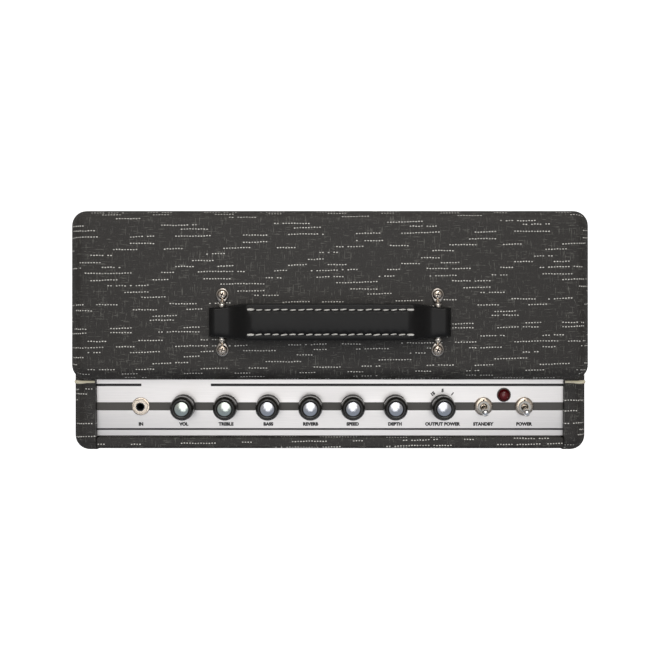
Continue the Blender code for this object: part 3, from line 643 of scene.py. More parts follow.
def solved(name, base, others):
    """The base mesh joined with or cut by others, each as (mesh, operation)."""
    target = bpy.data.objects.new(name, base)
    bpy.context.scene.collection.objects.link(target)
    helpers = [target]
    for data, operation in others:
        helper = bpy.data.objects.new(name + "_helper", data)
        bpy.context.scene.collection.objects.link(helper)
        helpers.append(helper)
        step = target.modifiers.new(operation, "BOOLEAN")
        step.operation = operation
        step.object = helper
        step.solver = "EXACT"
    bpy.context.view_layer.update()
    shape = target.evaluated_get(bpy.context.evaluated_depsgraph_get())
    data = bpy.data.meshes.new_from_object(shape)
    for helper in helpers:
        bpy.data.objects.remove(helper)
    bm = bmesh.new()
    bm.from_mesh(data)
    bmesh.ops.remove_doubles(bm, verts=bm.verts, dist=1e-6)
    bm.to_mesh(data)
    bm.free()
    data.name = name
    return data


def rope(name, points, radius, material, cyclic=False, radii=None):
    """A round cord along the points."""
    curve = bpy.data.curves.new(name, "CURVE")
    curve.dimensions = "3D"
    curve.bevel_depth = radius
    curve.bevel_resolution = 6
    curve.use_fill_caps = not cyclic
    line = curve.splines.new("POLY")
    line.points.add(len(points) - 1)
    for index, (point, spot) in enumerate(zip(line.points, points)):
        point.co = (*spot, 1.0)
        point.radius = radii[index] if radii else 1.0
    line.use_cyclic_u = cyclic
    line.use_smooth = True
    return link(name, curve, material)


def arc(centre, radius, start, end, steps):
    """Points on a circle in the XZ plane, as (x, z)."""
    angles = [start + (end - start) * step / steps for step in range(steps + 1)]
    return [(centre[0] + radius * math.cos(a), centre[1] + radius * math.sin(a)) for a in angles]


# Cabinet

def lay_cloth(data, rear_top, rear_edge, top):
    """Lays the covering's pattern round the cabinet, in metres, as if wrapped over its edges."""
    layer = data.uv_layers.new(name="covering")
    for face in data.polygons:
        side = abs(face.normal.x) > abs(face.normal.y)
        for loop in face.loop_indices:
            x, y, z = data.vertices[data.loops[loop].vertex_index].co
            drop = (rear_top if face.center.y < rear_edge else top) - z
            if side:
                layer.data[loop].uv = (math.copysign(abs(x) + drop, x), y)
            else:
                layer.data[loop].uv = (x, y + math.copysign(drop, face.normal.y))


def covering(material):
    top_low, top_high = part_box("top_board")
    left_low, left_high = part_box("left_side_board")
    half = top_high.x
    inner = abs(left_high.x)
    base = left_low.z
    rear_top = left_high.z

    def at_bottom(a, b):
        return same(a.z, base) and same(b.z, base)

    def at_top(a, b):
        return same(a.z, top_high.z) and same(b.z, top_high.z)

    main = block("covering", (-half, top_low.y, base), top_high,
                 ((upright, CORNER), (at_top, TOP_ROUND), (at_bottom, TOP_ROUND)))
    others = []
    for side in (-1, 1):
        low_x, high_x = sorted((side * half, side * inner))
        end = top_low.y + 2 * CORNER

        def outer_rear(a, b):
            return upright(a, b) and same(a.x, side * half) and same(a.y, left_low.y)

        def outer_rim(a, b):
            flat = same(a.z, b.z) and (same(a.z, rear_top) or same(a.z, base))
            inside = same(a.x, side * inner) and same(b.x, side * inner)
            return flat and not inside and not (same(a.y, end) and same(b.y, end))

        rear = block("rear_side", (low_x, left_low.y, base), (high_x, end, rear_top),
                     ((outer_rear, CORNER), (outer_rim, TOP_ROUND)))
        others.append((rear, "UNION"))
    floor_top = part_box("bottom_board")[1].z
    depth = abs(left_low.y)

    def under_edge(a, b):
        return at_bottom(a, b) and not same(a.x, b.x)

    lap = 0.002
    floor = block("floor", (-inner - lap, -depth, base), (inner + lap, depth, floor_top),
                  ((under_edge, TOP_ROUND),))
    past = depth + 0.02
    void = block("void", (-inner, -past, floor_top), (inner, past, top_low.z))
    others += [(floor, "UNION"), (void, "DIFFERENCE")]
    data = solved("cabinet_covering", main, others)
    lay_cloth(data, rear_top, top_low.y - 0.0002, top_high.z)
    piece = link("cabinet_covering", data, material, at_angle=38.0)
    stands_for(piece, "covered_board", "top_board", "left_side_board", "right_side_board", "bottom_board")


def rear_panels(material):
    """The two removable panels."""
    for name in ("rear_upper_panel", "rear_lower_panel"):
        low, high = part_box(name)
        data = block(name, low, high, ((lambda a, b: same(a.y, low.y) and same(b.y, low.y), 0.003),
                                       (lambda a, b: same(a.y, high.y) and same(b.y, high.y), 0.003)))
        layer = data.uv_layers.new(name="covering")
        for face in data.polygons:
            flat = abs(face.normal.z) > 0.7
            for loop in face.loop_indices:
                x, y, z = data.vertices[data.loops[loop].vertex_index].co
                layer.data[loop].uv = (x + 0.031, y - high.z) if flat else (x + 0.031, z)
        piece = link(name + "_cover", data, material)
        stands_for(piece, "covered_board", name)


def cross_head(name, profile, reach, top, depth):
    """A turned screw head with a cross recess."""
    bars = [(block("bar", (-a, -b, top - depth), (a, b, top + 0.002)), "DIFFERENCE")
            for a, b in ((reach, reach * 0.25), (reach * 0.25, reach))]
    return solved(name, lathe(name, profile, 40), bars)


def cross_painted_shade(name, reach, level):
    """A near-black slab at the bottom of a cross recess: painted shade in the recess."""
    a, b = reach * 0.98, reach * 0.26
    bars = [block("bar", low, high) for low, high in (((-a, -b, level), (a, b, level + 0.0006)),
                                                      ((-b, -a, level), (b, a, level + 0.0006)))]
    return solved(name, bars[0], [(bars[1], "UNION")])


def rear_screws(metal):
    """Four screws in cup washers along the middle of each rear panel."""
    head = cross_head("panel_screw", ((0.0, 0.0016), (0.0022, 0.0014), (0.0036, 0.0006), (0.0038, 0.0),
                                      (0.0, 0.0)), 0.0018, 0.0016, 0.0011)
    cup = lathe("panel_washer", ((0.0039, 0.0010), (0.0048, 0.0012), (0.0068, 0.0), (0.0066, -0.0004),
                                 (0.0038, -0.0004)), 40, 0.0002, ring=True)
    for name in ("rear_upper_panel", "rear_lower_panel"):
        low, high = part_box(name)
        z = low.z + (high.z - low.z) / 2
        for index, x in enumerate((low.x + PANEL_SCREW_END, low.x / 3, high.x / 3, high.x - PANEL_SCREW_END)):
            turn = Matrix.Translation((x, low.y - 0.0002, z)) @ Matrix.Rotation(math.pi / 2, 4, "X")
            spin = Matrix.Rotation(0.6 * index + 0.3 * len(name), 4, "Z")
            link(f"{name}_screw_{index}", head.copy(), metal, matrix=turn @ spin)
            link(f"{name}_washer_{index}", cup.copy(), metal, matrix=turn)


def side_piping(material):
    """Cream cord over each side board, where the top board's covering ends."""
    for side, name in ((-1, "left_side_piping"), (1, "right_side_piping")):
        low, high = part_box(name)
        board_low, board_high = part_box(name.replace("piping", "board"))
        y = (low.y + high.y) / 2
        outer = max(abs(board_low.x), abs(board_high.x))
        bend = arc((outer - TOP_ROUND, board_high.z - TOP_ROUND), TOP_ROUND - 0.0003, math.pi / 2, 0.0, 14)
        inner = min(abs(board_low.x), abs(board_high.x))
        run = [(inner + 0.0004, board_high.z + 0.0004)] + bend + [(outer - 0.0013, low.z)]
        points = [(side * x, y - 0.0004 * min(index, 4) / 4, z) for index, (x, z) in enumerate(run)]
        radii = [0.72 + 0.34 * min(index / 6, 1.0) for index in range(len(run))]
        piece = rope(name + "_cord", points, 0.0018, material, radii=radii)
        stands_for(piece, "cream_cord", name)


def front(materials):
    low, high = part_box("front_piping")
    radius = (high.y - low.y) / 2
    corner = 0.008
    x = high.x - radius - corner
    low_z = low.z + radius + corner
    high_z = high.z - radius - corner
    points = []
    for turn, (cx, cz) in enumerate(((x, low_z), (x, high_z), (-x, high_z), (-x, low_z)), start=-1):
        points += [(px, low.y + radius, pz)
                   for px, pz in arc((cx, cz), corner, turn * math.pi / 2, (turn + 1) * math.pi / 2, 8)]
    piping = rope("front_piping_cord", points, radius, materials["cord"], cyclic=True)
    stands_for(piping, "cream_cord", "front_piping")

    low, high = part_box("grille_cloth")
    width = high.x - low.x
    height = high.z - low.z
    columns, lines = 60, 26
    verts = []
    for layer, y in enumerate((high.y, low.y)):
        for row in range(lines + 1):
            for column in range(columns + 1):
                u, v = column / columns, row / lines
                sag = 0.0004 * math.sin(math.pi * u) * math.sin(math.pi * v) if layer == 0 else 0.0
                verts.append((low.x + u * width, y - sag, low.z + v * height))
    span = columns + 1
    layer_size = span * (lines + 1)
    faces = []
    for row in range(lines):
        for column in range(columns):
            a = row * span + column
            faces.append((a, a + 1, a + span + 1, a + span))
            faces.append(tuple(layer_size + corner for corner in (a, a + span, a + span + 1, a + 1)))
    rim = list(range(columns)) + [row * span + columns for row in range(lines)]
    rim += [lines * span + column for column in range(columns, 0, -1)]
    rim += [row * span for row in range(lines, 0, -1)]
    for here, after in zip(rim, rim[1:] + rim[:1]):
        faces.append((here, after, layer_size + after, layer_size + here))
    cloth = link("grille_cloth_woven", mesh_of("grille_cloth_woven", verts, faces), materials["weave"])
    stands_for(cloth, "grille_fabric", "grille_cloth")


def feet(materials):
    for row in ("front", "rear"):
        for side in ("left", "right"):
            name = f"foot_{row}_{side}"
            low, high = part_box(name)
            shape = ((0.0, high.z), (0.0165, high.z), (0.0190, 0.0030), (0.0183, 0.0), (0.0070, 0.0),
                     (0.0066, 0.0050), (0.0, 0.0050))
            at = Matrix.Translation(((low.x + high.x) / 2, (low.y + high.y) / 2, 0.0))
            foot = turned(name + "_rubber", shape, materials["rubber"], at, soft=0.0007)
            stands_for(foot, "rubber", name)
            head = ((0.0, 0.0049), (0.0052, 0.0049), (0.0046, 0.0032), (0.0, 0.0026))
            turned(name + "_screw", head, materials["nickel"], at, steps=32, soft=0.0005)


# Handle

def ease(value):
    t = min(max(value, 0.0), 1.0)
    return t * t * (3 - 2 * t)


def blunt(value):
    """A straight rise from 0 to 1 with slightly rounded ends."""
    return 0.82 * min(max(value, 0.0), 1.0) + 0.18 * ease(value)


def grip(materials):
    """The leather: flat loops at both ends, and a stitched, padded middle."""
    low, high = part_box("handle_grip")
    centre_y = (low.y + high.y) / 2
    end = high.x
    pad_width = (high.y - low.y) / 2
    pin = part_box("right_handle_bar")
    pin_x = (pin[0].x + pin[1].x) / 2
    pin_z = pin[1].z - ROD_RADIUS
    end_width = 0.0149
    loop = 0.0068
    pad_thick = 0.0072
    pad_z = high.z - pad_thick
    rings = []
    stations = [end * math.sin(math.pi / 2 * step / 150) for step in range(-150, 151)]
    around = 112
    for x in stations:
        reach = abs(x)
        share = ease((pin_x - 0.006 - reach) / 0.026)
        width = end_width + (pad_width - end_width) * blunt((0.1107 - reach) / 0.0245)
        middle = pin_z + (pad_z - pin_z) * share
        thick = loop + (pad_thick - loop) * share
        tip = (reach - (end - loop)) / loop
        if tip > 0:
            thick *= math.sqrt(max(1.0 - tip * tip, 0.0004))
            width -= 0.0006 * ease(tip)
        swell = ease((STITCH_END + 0.003 - reach) / 0.006)
        ring = []
        for step in range(around):
            angle = math.tau * step / around
            across = math.copysign(abs(math.cos(angle)) ** 0.42, math.cos(angle))
            level = math.copysign(abs(math.sin(angle)) ** 0.42, math.sin(angle))
            y = width * across
            z = thick * level
            if level > 0:
                pad = math.sqrt(max(1.0 - (min(abs(y), PAD_HALF) / PAD_HALF) ** 2.2, 0.0))
                flange = 0.0026 * share * swell
                pucker = 0.00030 * math.sin(math.tau * x / STITCH_PITCH)
                pucker *= math.exp(-((abs(y) - 0.0106) / 0.0016) ** 2)
                groove = 0.0005 * math.exp(-((abs(y) - STITCH_Y) / 0.0011) ** 2)
                z -= (flange * (1 - pad) + (groove - pucker) * swell) * level
            ring.append(Vector((x, centre_y + y, middle + z)))
        rings.append(ring)
    piece = link("handle_leather", rings_mesh("handle_leather", rings), materials["leather"], at_angle=60.0)
    stands_for(piece, "strap_leather", "handle_grip")
    stitches(materials["thread"], centre_y, pad_z + pad_thick - 0.0026)


def stitches(material, centre_y, level):
    """Two rows of thread, with a doubled stitch at each end of a row."""
    verts = []
    faces = []
    count = int(2 * STITCH_END / STITCH_PITCH)
    for side in (-1, 1):
        for index in range(count + 1):
            x = -STITCH_END + (index + 0.25) * STITCH_PITCH
            last = index in (0, count)
            half = 0.0035 + (0.0003 if last else 0.0)
            fat = 0.0011 if last else 0.00066
            slant = 0.0 if last else 0.10 + 0.05 * math.sin(index * 2.3 + side)
            wander = 0.0003 * math.sin(index * 1.7 + side * 2)
            start = len(verts)
            rounds = 10
            spans = 8
            for span in range(spans + 1):
                t = span / spans * 2 - 1
                girth = fat * max(1 - t ** 4, 0.02) ** 0.5
                row_y = centre_y + side * STITCH_Y + wander + slant * half * t
                for turn in range(rounds):
                    angle = math.tau * turn / rounds
                    verts.append((x + half * t, row_y + girth * math.cos(angle),
                                  level + 0.0003 - 0.0006 * t * t + girth * 0.8 * math.sin(angle)))
            for span in range(spans):
                for turn in range(rounds):
                    a = start + span * rounds + turn
                    b = start + span * rounds + (turn + 1) % rounds
                    faces.append((a, b, b + rounds, a + rounds))
            faces.append(list(range(start, start + rounds)))
            faces.append(list(range(start + spans * rounds, start + (spans + 1) * rounds)))
    link("handle_stitches", mesh_of("handle_stitches", verts, faces), material)


def egg():
    """A hardware plate's outline: wide round the screw, narrowing towards the leather, which is at +Y."""
    points = []
    for step in range(48):
        angle = math.tau * step / 48
        x, y = math.cos(angle), math.sin(angle)
        long = 0.0108 if y > 0 else 0.0068
        points.append((x * 0.0065 * (1 - 0.45 * max(y, 0.0) ** 1.6), y * long))
    return points


def handle_hardware(materials):
    metal = materials["nickel"]
    plate_levels = ((0.985, 0.0), (1.0, 0.0003), (1.0, 0.0008), (0.95, 0.0013), (0.86, 0.0016),
                    (0.78, 0.0018), (0.4, 0.0020))
    dome = ((0.0, 0.0034), (0.0018, 0.0033), (0.0033, 0.0028), (0.0045, 0.0018), (0.0052, 0.0004),
            (0.0052, 0.0), (0.0, 0.0))
    ring = ((0.0, 0.0030), (0.0028, 0.0030), (0.0038, 0.0022), (0.0040, 0.0012), (0.0036, 0.0), (0.0, 0.0))
    head = cross_head("handle_screw_head", dome, 0.0026, 0.0034, 0.0018)
    floor = cross_painted_shade("handle_screw_floor", 0.0026, 0.0012)
    for side, x_side in (("left", -1), ("right", 1)):
        name = side + "_handle_bar"
        low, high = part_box(name)
        x = (low.x + high.x) / 2
        centre_y = (low.y + high.y) / 2
        pin_z = high.z - ROD_RADIUS
        half = [(0.0205, low.z + 0.0012), (0.0194, low.z + 0.0024), (0.0188, pin_z - 0.0034),
                (0.0178, pin_z - 0.0012), (0.0160, pin_z), (0.0080, pin_z)]
        spots = half + [(-y, z) for y, z in reversed(half)]
        bar = rope(name + "_rod", [(x, centre_y + y, z) for y, z in spots], ROD_RADIUS * 0.92, metal)
        stands_for(bar, "chrome", name)
        for row, sign in (("front", 1), ("rear", -1)):
            screw = f"handle_screw_{side}_{row}"
            screw_low, screw_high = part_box(screw)
            y = (screw_low.y + screw_high.y) / 2
            turn = Matrix.Rotation(math.pi if sign > 0 else 0.0, 4, "Z")
            at = Matrix.Translation((x, y, low.z))
            plate = link(f"{name}_plate_{row}", stack("plate", egg(), plate_levels), materials["plate"],
                         matrix=at @ turn)
            along = Matrix.Translation((x, centre_y + sign * 0.0158, pin_z - 0.0008))
            facing = Matrix.Rotation(-sign * math.pi / 2, 4, "X")
            collar = turned(f"{name}_collar_{row}", ring, metal, along @ facing, steps=40, soft=0.0006)
            spin = Matrix.Rotation(0.5 + 0.9 * x_side * sign, 4, "Z")
            upon = Matrix.Translation((x, y, low.z + 0.0017)) @ spin
            piece = link(screw + "_head", head.copy(), materials["screw"], matrix=upon)
            # a near-black slab in each cross recess: painted shade
            link(screw + "_recess", floor.copy(), materials["black"], matrix=upon)
            stands_for(piece, "chrome", screw)


# Control panel

def on_panel(x, y=0.0, z=0.0):
    return PANEL @ Matrix.Translation((x, y, z))


def centre_x(node):
    low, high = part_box(node)
    return (low.x + high.x) / 2


def lettering(material):
    """All the printed words, as one thin raised print."""
    words = {"IN": "input_jack", "VOL": "knob_volume", "TREBLE": "knob_treble", "BASS": "knob_bass",
             "REVERB": "knob_reverb", "SPEED": "knob_speed", "DEPTH": "knob_depth",
             "OUTPUT POWER": "knob_output_power", "STANDBY": "standby_nut", "POWER": "power_nut"}
    lines = [(word, Matrix.Translation((centre_x(node), LABEL_Y, 0.0)), LABEL_HEIGHT)
             for word, node in words.items()]
    dial = Matrix.Translation((centre_x("knob_output_power"), 0.0, 0.0))
    for word, degrees in (("15", DIAL_DEGREES), ("5", 0.0), ("1", -DIAL_DEGREES)):
        turn = Matrix.Rotation(math.radians(degrees), 4, "Z")
        lines.append((word, dial @ turn @ Matrix.Translation((0.0, DIAL_REACH, 0.0)), DIAL_HEIGHT))
    bm = bmesh.new()
    for word, matrix, height in lines:
        curve = bpy.data.curves.new("word", "FONT")
        curve.body = word
        curve.align_x = "CENTER"
        curve.size = height / 0.70
        curve.offset = 0.00034
        curve.space_character = 1.04
        curve.extrude = 0.00002
        curve.resolution_u = 4
        holder = bpy.data.objects.new("word", curve)
        bpy.context.scene.collection.objects.link(holder)
        bpy.context.view_layer.update()
        data = bpy.data.meshes.new_from_object(holder.evaluated_get(bpy.context.evaluated_depsgraph_get()))
        data.transform(matrix)
        bm.from_mesh(data)
        bpy.data.objects.remove(holder)
    data = bpy.data.meshes.new("panel_lettering")
    bm.to_mesh(data)
    bm.free()
    piece = link("panel_lettering", data, material, matrix=on_panel(0.0, 0.0, 0.00006))


def knobs(materials):
    body = ((0.0, 0.0215), (0.0074, 0.0215), (0.0077, 0.0232), (0.0082, 0.0236), (0.0090, 0.0238),
            (0.0099, 0.0234), (0.0107, 0.0226), (0.0115, 0.0210), (0.0121, 0.0186), (0.0124, 0.0150),
            (0.0124, 0.0010), (0.0106, 0.0010), (0.0104, 0.0070), (0.0, 0.0070))
    cap = ((0.0, 0.0248), (0.0068, 0.0231), (0.0071, 0.0229), (0.0072, 0.0212), (0.0, 0.0212))
    for index, name in enumerate(KNOBS):
        node = "knob_" + name
        x = centre_x(node)
        skirt = turned(node + "_shell", body, materials["knob"], on_panel(x), node, steps=72, soft=0.0004)
        stands_for(skirt, "knob_plastic", node)
        # VOL and TREBLE take a green-tinted copy of the spun cap metal: a painted reflection of greenish
        # surroundings
        tint = "cap_painted_green_reflection" if index < 2 else "cap"
        turned(node + "_cap", cap, materials[tint], on_panel(x), node, steps=72)


def toggles(materials):
    ring = ((0.0076, 0.0034), (0.0086, 0.0029), (0.0094, 0.0016), (0.0095, 0.0003), (0.0054, 0.0003),
            (0.0054, 0.0034), (0.0062, 0.0038))
    collar = ((0.0036, 0.0052), (0.0045, 0.0054), (0.0052, 0.0048), (0.0053, 0.0004), (0.0036, 0.0004))
    spot = ((0.0, 0.00015), (0.0009, 0.00015), (0.0009, -0.0004), (0.0, -0.0004))
    bat = ((0.0, 0.0225), (0.0018, 0.0222), (0.0030, 0.0212), (0.0035, 0.0198), (0.0035, 0.0184),
           (0.0031, 0.0160), (0.0025, 0.0120), (0.0021, 0.0060), (0.0019, 0.0024), (0.0029, 0.0012),
           (0.0031, 0.0), (0.0029, -0.0012), (0.0013, -0.0028), (0.0013, -0.0060), (0.0, -0.0060))
    metal = materials["warm_nickel"]
    for name in SWITCHES:
        x = centre_x(name + "_nut")
        nut = turned(name + "_nut_ring", ring, metal, on_panel(x), steps=64, ring=True)
        stands_for(nut, "chrome", name + "_nut")
        bushing = turned(name + "_bushing", collar, metal, on_panel(x), ring=True)
        # a black dot at the keyway notch in the nut ring: painted shade in the notch
        turned(name + "_keyway", spot, materials["black"], on_panel(x, 0.0068, 0.0037), steps=20, soft=0.0)
        pivot = Vector(JOINTS[name + "_toggle"]["pos_m"])
        tilt = Matrix.Rotation(math.radians(LEVER_TILT), 4, "X")
        at = Matrix.Translation(pivot) @ PANEL.to_3x3().to_4x4() @ tilt
        lever = turned(name + "_bat", bat, materials["bright"], at, name + "_lever", steps=40, soft=0.0004)
        stands_for(lever, "chrome", name + "_lever")


def lamp(materials):
    low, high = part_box("pilot_holder")
    at = on_panel(centre_x("pilot_holder"), ((low + high) / 2 - ORIGIN).dot(SLOPE))
    rim = ((0.0058, 0.0017), (0.0066, 0.0016), (0.0071, 0.0010), (0.0071, 0.0003), (0.0058, 0.0003))
    holder = turned("pilot_ring", rim, materials["dark_nickel"], at, ring=True)
    dome = ((0.0, 0.0056), (0.0026, 0.0052), (0.0045, 0.0042), (0.0058, 0.0028), (0.0062, 0.0018),
            (0.0062, 0.0010), (0.0, 0.0010))
    jewel = turned("pilot_jewel", dome, materials["lens"], at, soft=0.0006)
    stands_for(jewel, "lens", "pilot_lens")


def hexagon(radius, turn=0.0):
    """A six-sided outline with slightly rounded corners."""
    points = []
    for corner in range(6):
        for offset in (-0.06, 0.0, 0.06):
            angle = math.tau * corner / 6 + turn + offset
            reach = 1.0 if offset else 1.004
            points.append((radius * math.cos(angle) * reach, radius * math.sin(angle) * reach))
    return points


def drilled_nut(name, radius, low, high, bore, turn=0.0):
    levels = ((0.985, low), (1.0, low + 0.0003), (1.0, high - 0.0005), (0.95, high))
    body = stack(name, hexagon(radius, turn), levels)
    below, above = low - 0.002, high + 0.002
    hole = lathe("bore", ((0.0, below), (bore, below), (bore, above), (0.0, above)), 40, 0.0)
    return solved(name, body, [(hole, "DIFFERENCE")])


def input_jack(materials):
    at = on_panel(centre_x("input_jack_nut"))
    metal = materials["warm_nickel"]
    washer = ((0.0049, 0.0012), (0.0087, 0.0012), (0.0092, 0.0008), (0.0092, 0.0003), (0.0049, 0.0003))
    plate = turned("input_jack_washer", washer, metal, at, steps=64, ring=True)
    stands_for(plate, "chrome", "input_jack_nut")
    hexagonal = drilled_nut("nut", 0.0081, 0.0012, 0.0038, 0.0047, 0.2)
    nut = link("input_jack_hexagon", hexagonal, metal, matrix=at)
    sleeve = ((0.0041, 0.0043), (0.0044, 0.0046), (0.0047, 0.0043), (0.0047, 0.0010), (0.0041, 0.0010))
    tip = turned("input_jack_sleeve", sleeve, materials["bright"], at, ring=True)


# Works

def tube_parts(name, shape, base_radius, plate, materials):
    at = on_panel(centre_x(name), 0.0, TUBE_BASE_Z)
    envelope = turned(name + "_envelope", shape, materials["glass"], at, soft=0.0012)
    stands_for(envelope, "glass", name)
    width, height, start = plate
    side = ((0.0, start), (width, start), (width, start - height), (0.0, start - height))
    turned(name + "_plate", side, materials["electrode"], at, steps=24, soft=0.0006)
    for level, label in ((start + 0.0012, "upper"), (start - height - 0.0012, "lower")):
        rim = width * 1.35
        flat = ((0.0, level + 0.0003), (rim, level + 0.0003), (rim, level - 0.0003), (0.0, level - 0.0003))
        turned(f"{name}_{label}_mica", flat, materials["mica"], at, steps=32, soft=0.0001)
    base = ((0.0, 0.0005), (base_radius, 0.0005), (base_radius, -0.0090), (base_radius - 0.0008, -0.0100),
            (0.0, -0.0100))
    turned(name + "_base", base, materials["phenolic"], at, soft=0.0005)


def tubes(materials):
    small = ((0.0, -0.0105), (0.0098, -0.0105), (0.0102, -0.0125), (0.0102, -0.0450), (0.0070, -0.0505),
             (0.0022, -0.0530), (0.0009, -0.0545), (0.0, -0.0545))
    for index in (1, 2, 3):
        tube_parts(f"preamp_tube_{index}", small, 0.0104, (0.0055, 0.022, -0.0160), materials)
    large = ((0.0, -0.0105), (0.0145, -0.0105), (0.0152, -0.0130), (0.0152, -0.0570), (0.0125, -0.0650),
             (0.0060, -0.0692), (0.0, -0.0700))
    tube_parts("power_tube", large, 0.0154, (0.0085, 0.030, -0.0185), materials)


def under_jacks(materials):
    """A nut on each socket that points down from the chassis."""
    for name in ("speaker_jack", "footswitch_jack"):
        x = centre_x(name)
        data = drilled_nut(name + "_nut", 0.0078, -0.0655, -0.0630, 0.0048)
        nut = link(name + "_nut", data, materials["warm_nickel"], matrix=on_panel(x))


def dress(name, material, bevel=0.0):
    """Gives a CAD node its finish, and a small rounding of its edges."""
    node = next(item for item in bpy.data.objects if item.get("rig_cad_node") == name)
    node.data.materials.clear()
    node.data.materials.append(material)
    if bevel:
        step = node.modifiers.new("edge", "BEVEL")
        step.width = bevel
        step.segments = 2
        step.limit_method = "ANGLE"
        step.angle_limit = math.radians(50)
        step.harden_normals = False


def carried_over(materials):
    """The CAD nodes that are shown as they are."""
    dress("faceplate", materials["panel"], 0.0002)
    dress("fuse_drawer", materials["moulded"], 0.0003)
    for name in ("power_transformer", "output_transformer"):
        dress(name, materials["iron"], 0.0008)
    steel = ["chassis", "output_power_switch"]
    steel += ["pot_" + name for name in KNOBS[:-1]] + [name + "_switch_body" for name in SWITCHES]
    finishes = {"steel": steel, "wood": ["front_baffle"], "circuit": ["circuit_board"],
                "tank": ["reverb_tank"], "inlet": ["power_inlet"], "dark_nickel": ["pilot_holder"],
                # the input jack, seen down its bore, is near-black: its own black plastic, darkened further
                # as painted shade in the bore
                "black": ["input_jack"], "moulded": ["speaker_jack", "footswitch_jack"]}
    for finish, names in finishes.items():
        for name in names:
            dress(name, materials[finish])


# Stage

def stage():
    """The floor, and a dark card on it that the camera doesn't see, which takes up light from below."""
    bpy.ops.mesh.primitive_plane_add(size=12.0, location=(0.0, 0.0, 0.0))
    floor = bpy.context.object
    floor.name = "floor"
    g = Graph("floor_paper", Roughness=0.9, Specular_IOR_Level=0.0)
    x, y = g.place()[:2]
    tone = g.noise(g.vector(x, y), 0.004, 3.0)
    g.use(Base_Color=g.mix(tone, (0.86, 0.86, 0.86), (0.90, 0.90, 0.90)), Emission_Color=(1.0, 1.0, 1.0),
          Emission_Strength=0.95)
    floor.data.materials.append(g.material)
    bpy.ops.mesh.primitive_plane_add(size=1.0, location=(0.0, 0.0, 0.001))
    flag = bpy.context.object
    flag.name = "dark_card"
    flag.scale = (1.9, 1.5, 1.0)
    flag.visible_camera = False
    flag.visible_shadow = False
    card = Graph("card_paper", Roughness=0.9)
    x, y = card.place()[:2]
    tone = card.noise(card.vector(x, y), 0.01, 2.0)
    card.use(Base_Color=card.mix(tone, (0.05, 0.05, 0.05), (0.07, 0.07, 0.07)))
    flag.data.materials.append(card.material)


def softbox(name, location, target, size, watts, colour=(1.0, 1.0, 1.0)):
    light = bpy.data.lights.new(name, "AREA")
    light.shape = "RECTANGLE"
    light.size, light.size_y = size
    light.energy = watts
    light.color = colour
    holder = bpy.data.objects.new(name, light)
    holder.location = location
    holder.rotation_euler = (Vector(target) - Vector(location)).to_track_quat("-Z", "Y").to_euler()
    bpy.context.scene.collection.objects.link(holder)


def surroundings():
    """A pale studio: bright overhead, dimmer and bluer towards the control panel's side."""
    world = bpy.data.worlds.new("studio")
    bpy.context.scene.world = world
    world.use_nodes = True
    tree = world.node_tree
    background = tree.nodes["Background"]
    split = tree.nodes.new("ShaderNodeSeparateXYZ")
    tree.links.new(tree.nodes.new("ShaderNodeTexCoord").outputs["Generated"], split.inputs[0])

    def ramp(axis, *limits):
        node = tree.nodes.new("ShaderNodeMapRange")
        node.interpolation_type = "SMOOTHSTEP"
        for socket, value in zip(list(node.inputs)[1:], limits):
            socket.default_value = value
        tree.links.new(split.outputs[axis], node.inputs[0])
        return node.outputs[0]

    blend = tree.nodes.new("ShaderNodeMix")
    blend.data_type = "RGBA"
    tree.links.new(ramp("Y", -0.55, 0.25, 0.0, 1.0), blend.inputs["Factor"])
    colours = [socket for socket in blend.inputs if socket.type == "RGBA"]
    colours[0].default_value = (0.36, 0.39, 0.44, 1.0)
    colours[1].default_value = (0.46, 0.44, 0.42, 1.0)
    tree.links.new(ramp("Z", 0.05, 0.75, 0.15, 1.0), background.inputs["Strength"])
    output = [socket for socket in blend.outputs if socket.type == "RGBA"][0]
    tree.links.new(output, background.inputs["Color"])
    softbox("overhead", (0.0, 0.32, 2.5), (0.0, 0.0, 0.2), (1.6, 1.5), 12.5)
    softbox("panel_light", (0.0, -0.66, 2.5), (0.0, -0.1, 0.2), (0.9, 0.5), 2.2)
    softbox("key", (0.0, 1.60, 1.80), (0.0, 0.0, 0.2), (1.5, 0.5), 13.0, (1.0, 0.98, 0.95))
    bpy.context.scene.view_settings.view_transform = "Standard"


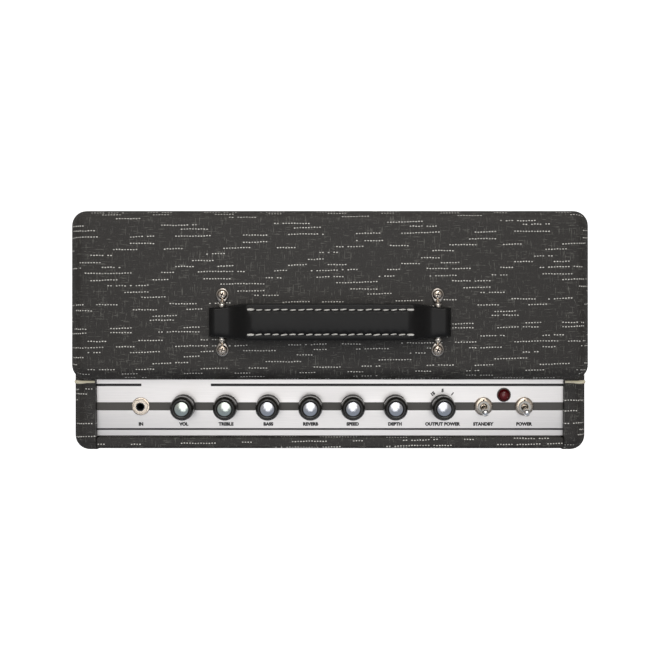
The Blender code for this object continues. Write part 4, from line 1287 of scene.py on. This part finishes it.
def camera():
    data = bpy.data.cameras.new("camera")
    data.sensor_width = 36.0
    data.lens = 76.25
    holder = bpy.data.objects.new("camera", data)
    holder.location = (0.0, 0.0009, 1.6413)
    bpy.context.scene.collection.objects.link(holder)
    bpy.context.scene.camera = holder


def main():
    materials = {
        "vinyl": vinyl(), "cord": cord(), "leather": leather(), "thread": thread(),
        "nickel": nickel(), "warm_nickel": nickel("warm_nickel", (0.70, 0.61, 0.51), 0.20),
        "plate": nickel("plate_nickel", (0.52, 0.48, 0.44), 0.24),
        "screw": nickel("screw_nickel", (0.84, 0.73, 0.62), 0.18),
        "dark_nickel": nickel("dark_nickel", (0.07, 0.06, 0.055), 0.30),
        "bright": nickel("bright_nickel", (0.86, 0.85, 0.84), 0.08), "panel": faceplate(), "ink": ink(),
        "knob": knob_plastic(), "cap": spun("spun_cap", (0.66, 0.67, 0.71)),
        # the green copy of the cap metal, for the VOL and TREBLE caps, is a painted reflection
        "cap_painted_green_reflection": spun("spun_cap_painted_green_reflection", (0.64, 0.70, 0.64)), "moulded": moulded(),
        # the near-black below is darker than any moulding here: painted shade in holes and recesses, and also
        # the jack's own black body
        "black": moulded("painted_hole_shade_black", (0.004, 0.004, 0.004), 0.8), "steel": sheet_metal(),
        "tank": sheet_metal("tank_steel", (0.56, 0.56, 0.57)), "iron": laminations(), "circuit": circuit(),
        "inlet": inlet(), "rubber": rubber(), "wood": stained_wood(), "weave": grille_weave(), "lens": lens(),
        "glass": glass(), "electrode": electrode(), "mica": moulded("mica", (0.45, 0.40, 0.33), 0.3),
        "phenolic": moulded("phenolic", (0.030, 0.022, 0.018), 0.35),
    }
    covering(materials["vinyl"])
    rear_panels(materials["vinyl"])
    rear_screws(materials["nickel"])
    side_piping(materials["cord"])
    front(materials)
    feet(materials)
    grip(materials)
    handle_hardware(materials)
    lettering(materials["ink"])
    knobs(materials)
    toggles(materials)
    lamp(materials)
    input_jack(materials)
    tubes(materials)
    under_jacks(materials)
    carried_over(materials)
    stage()
    surroundings()
    camera()


main()
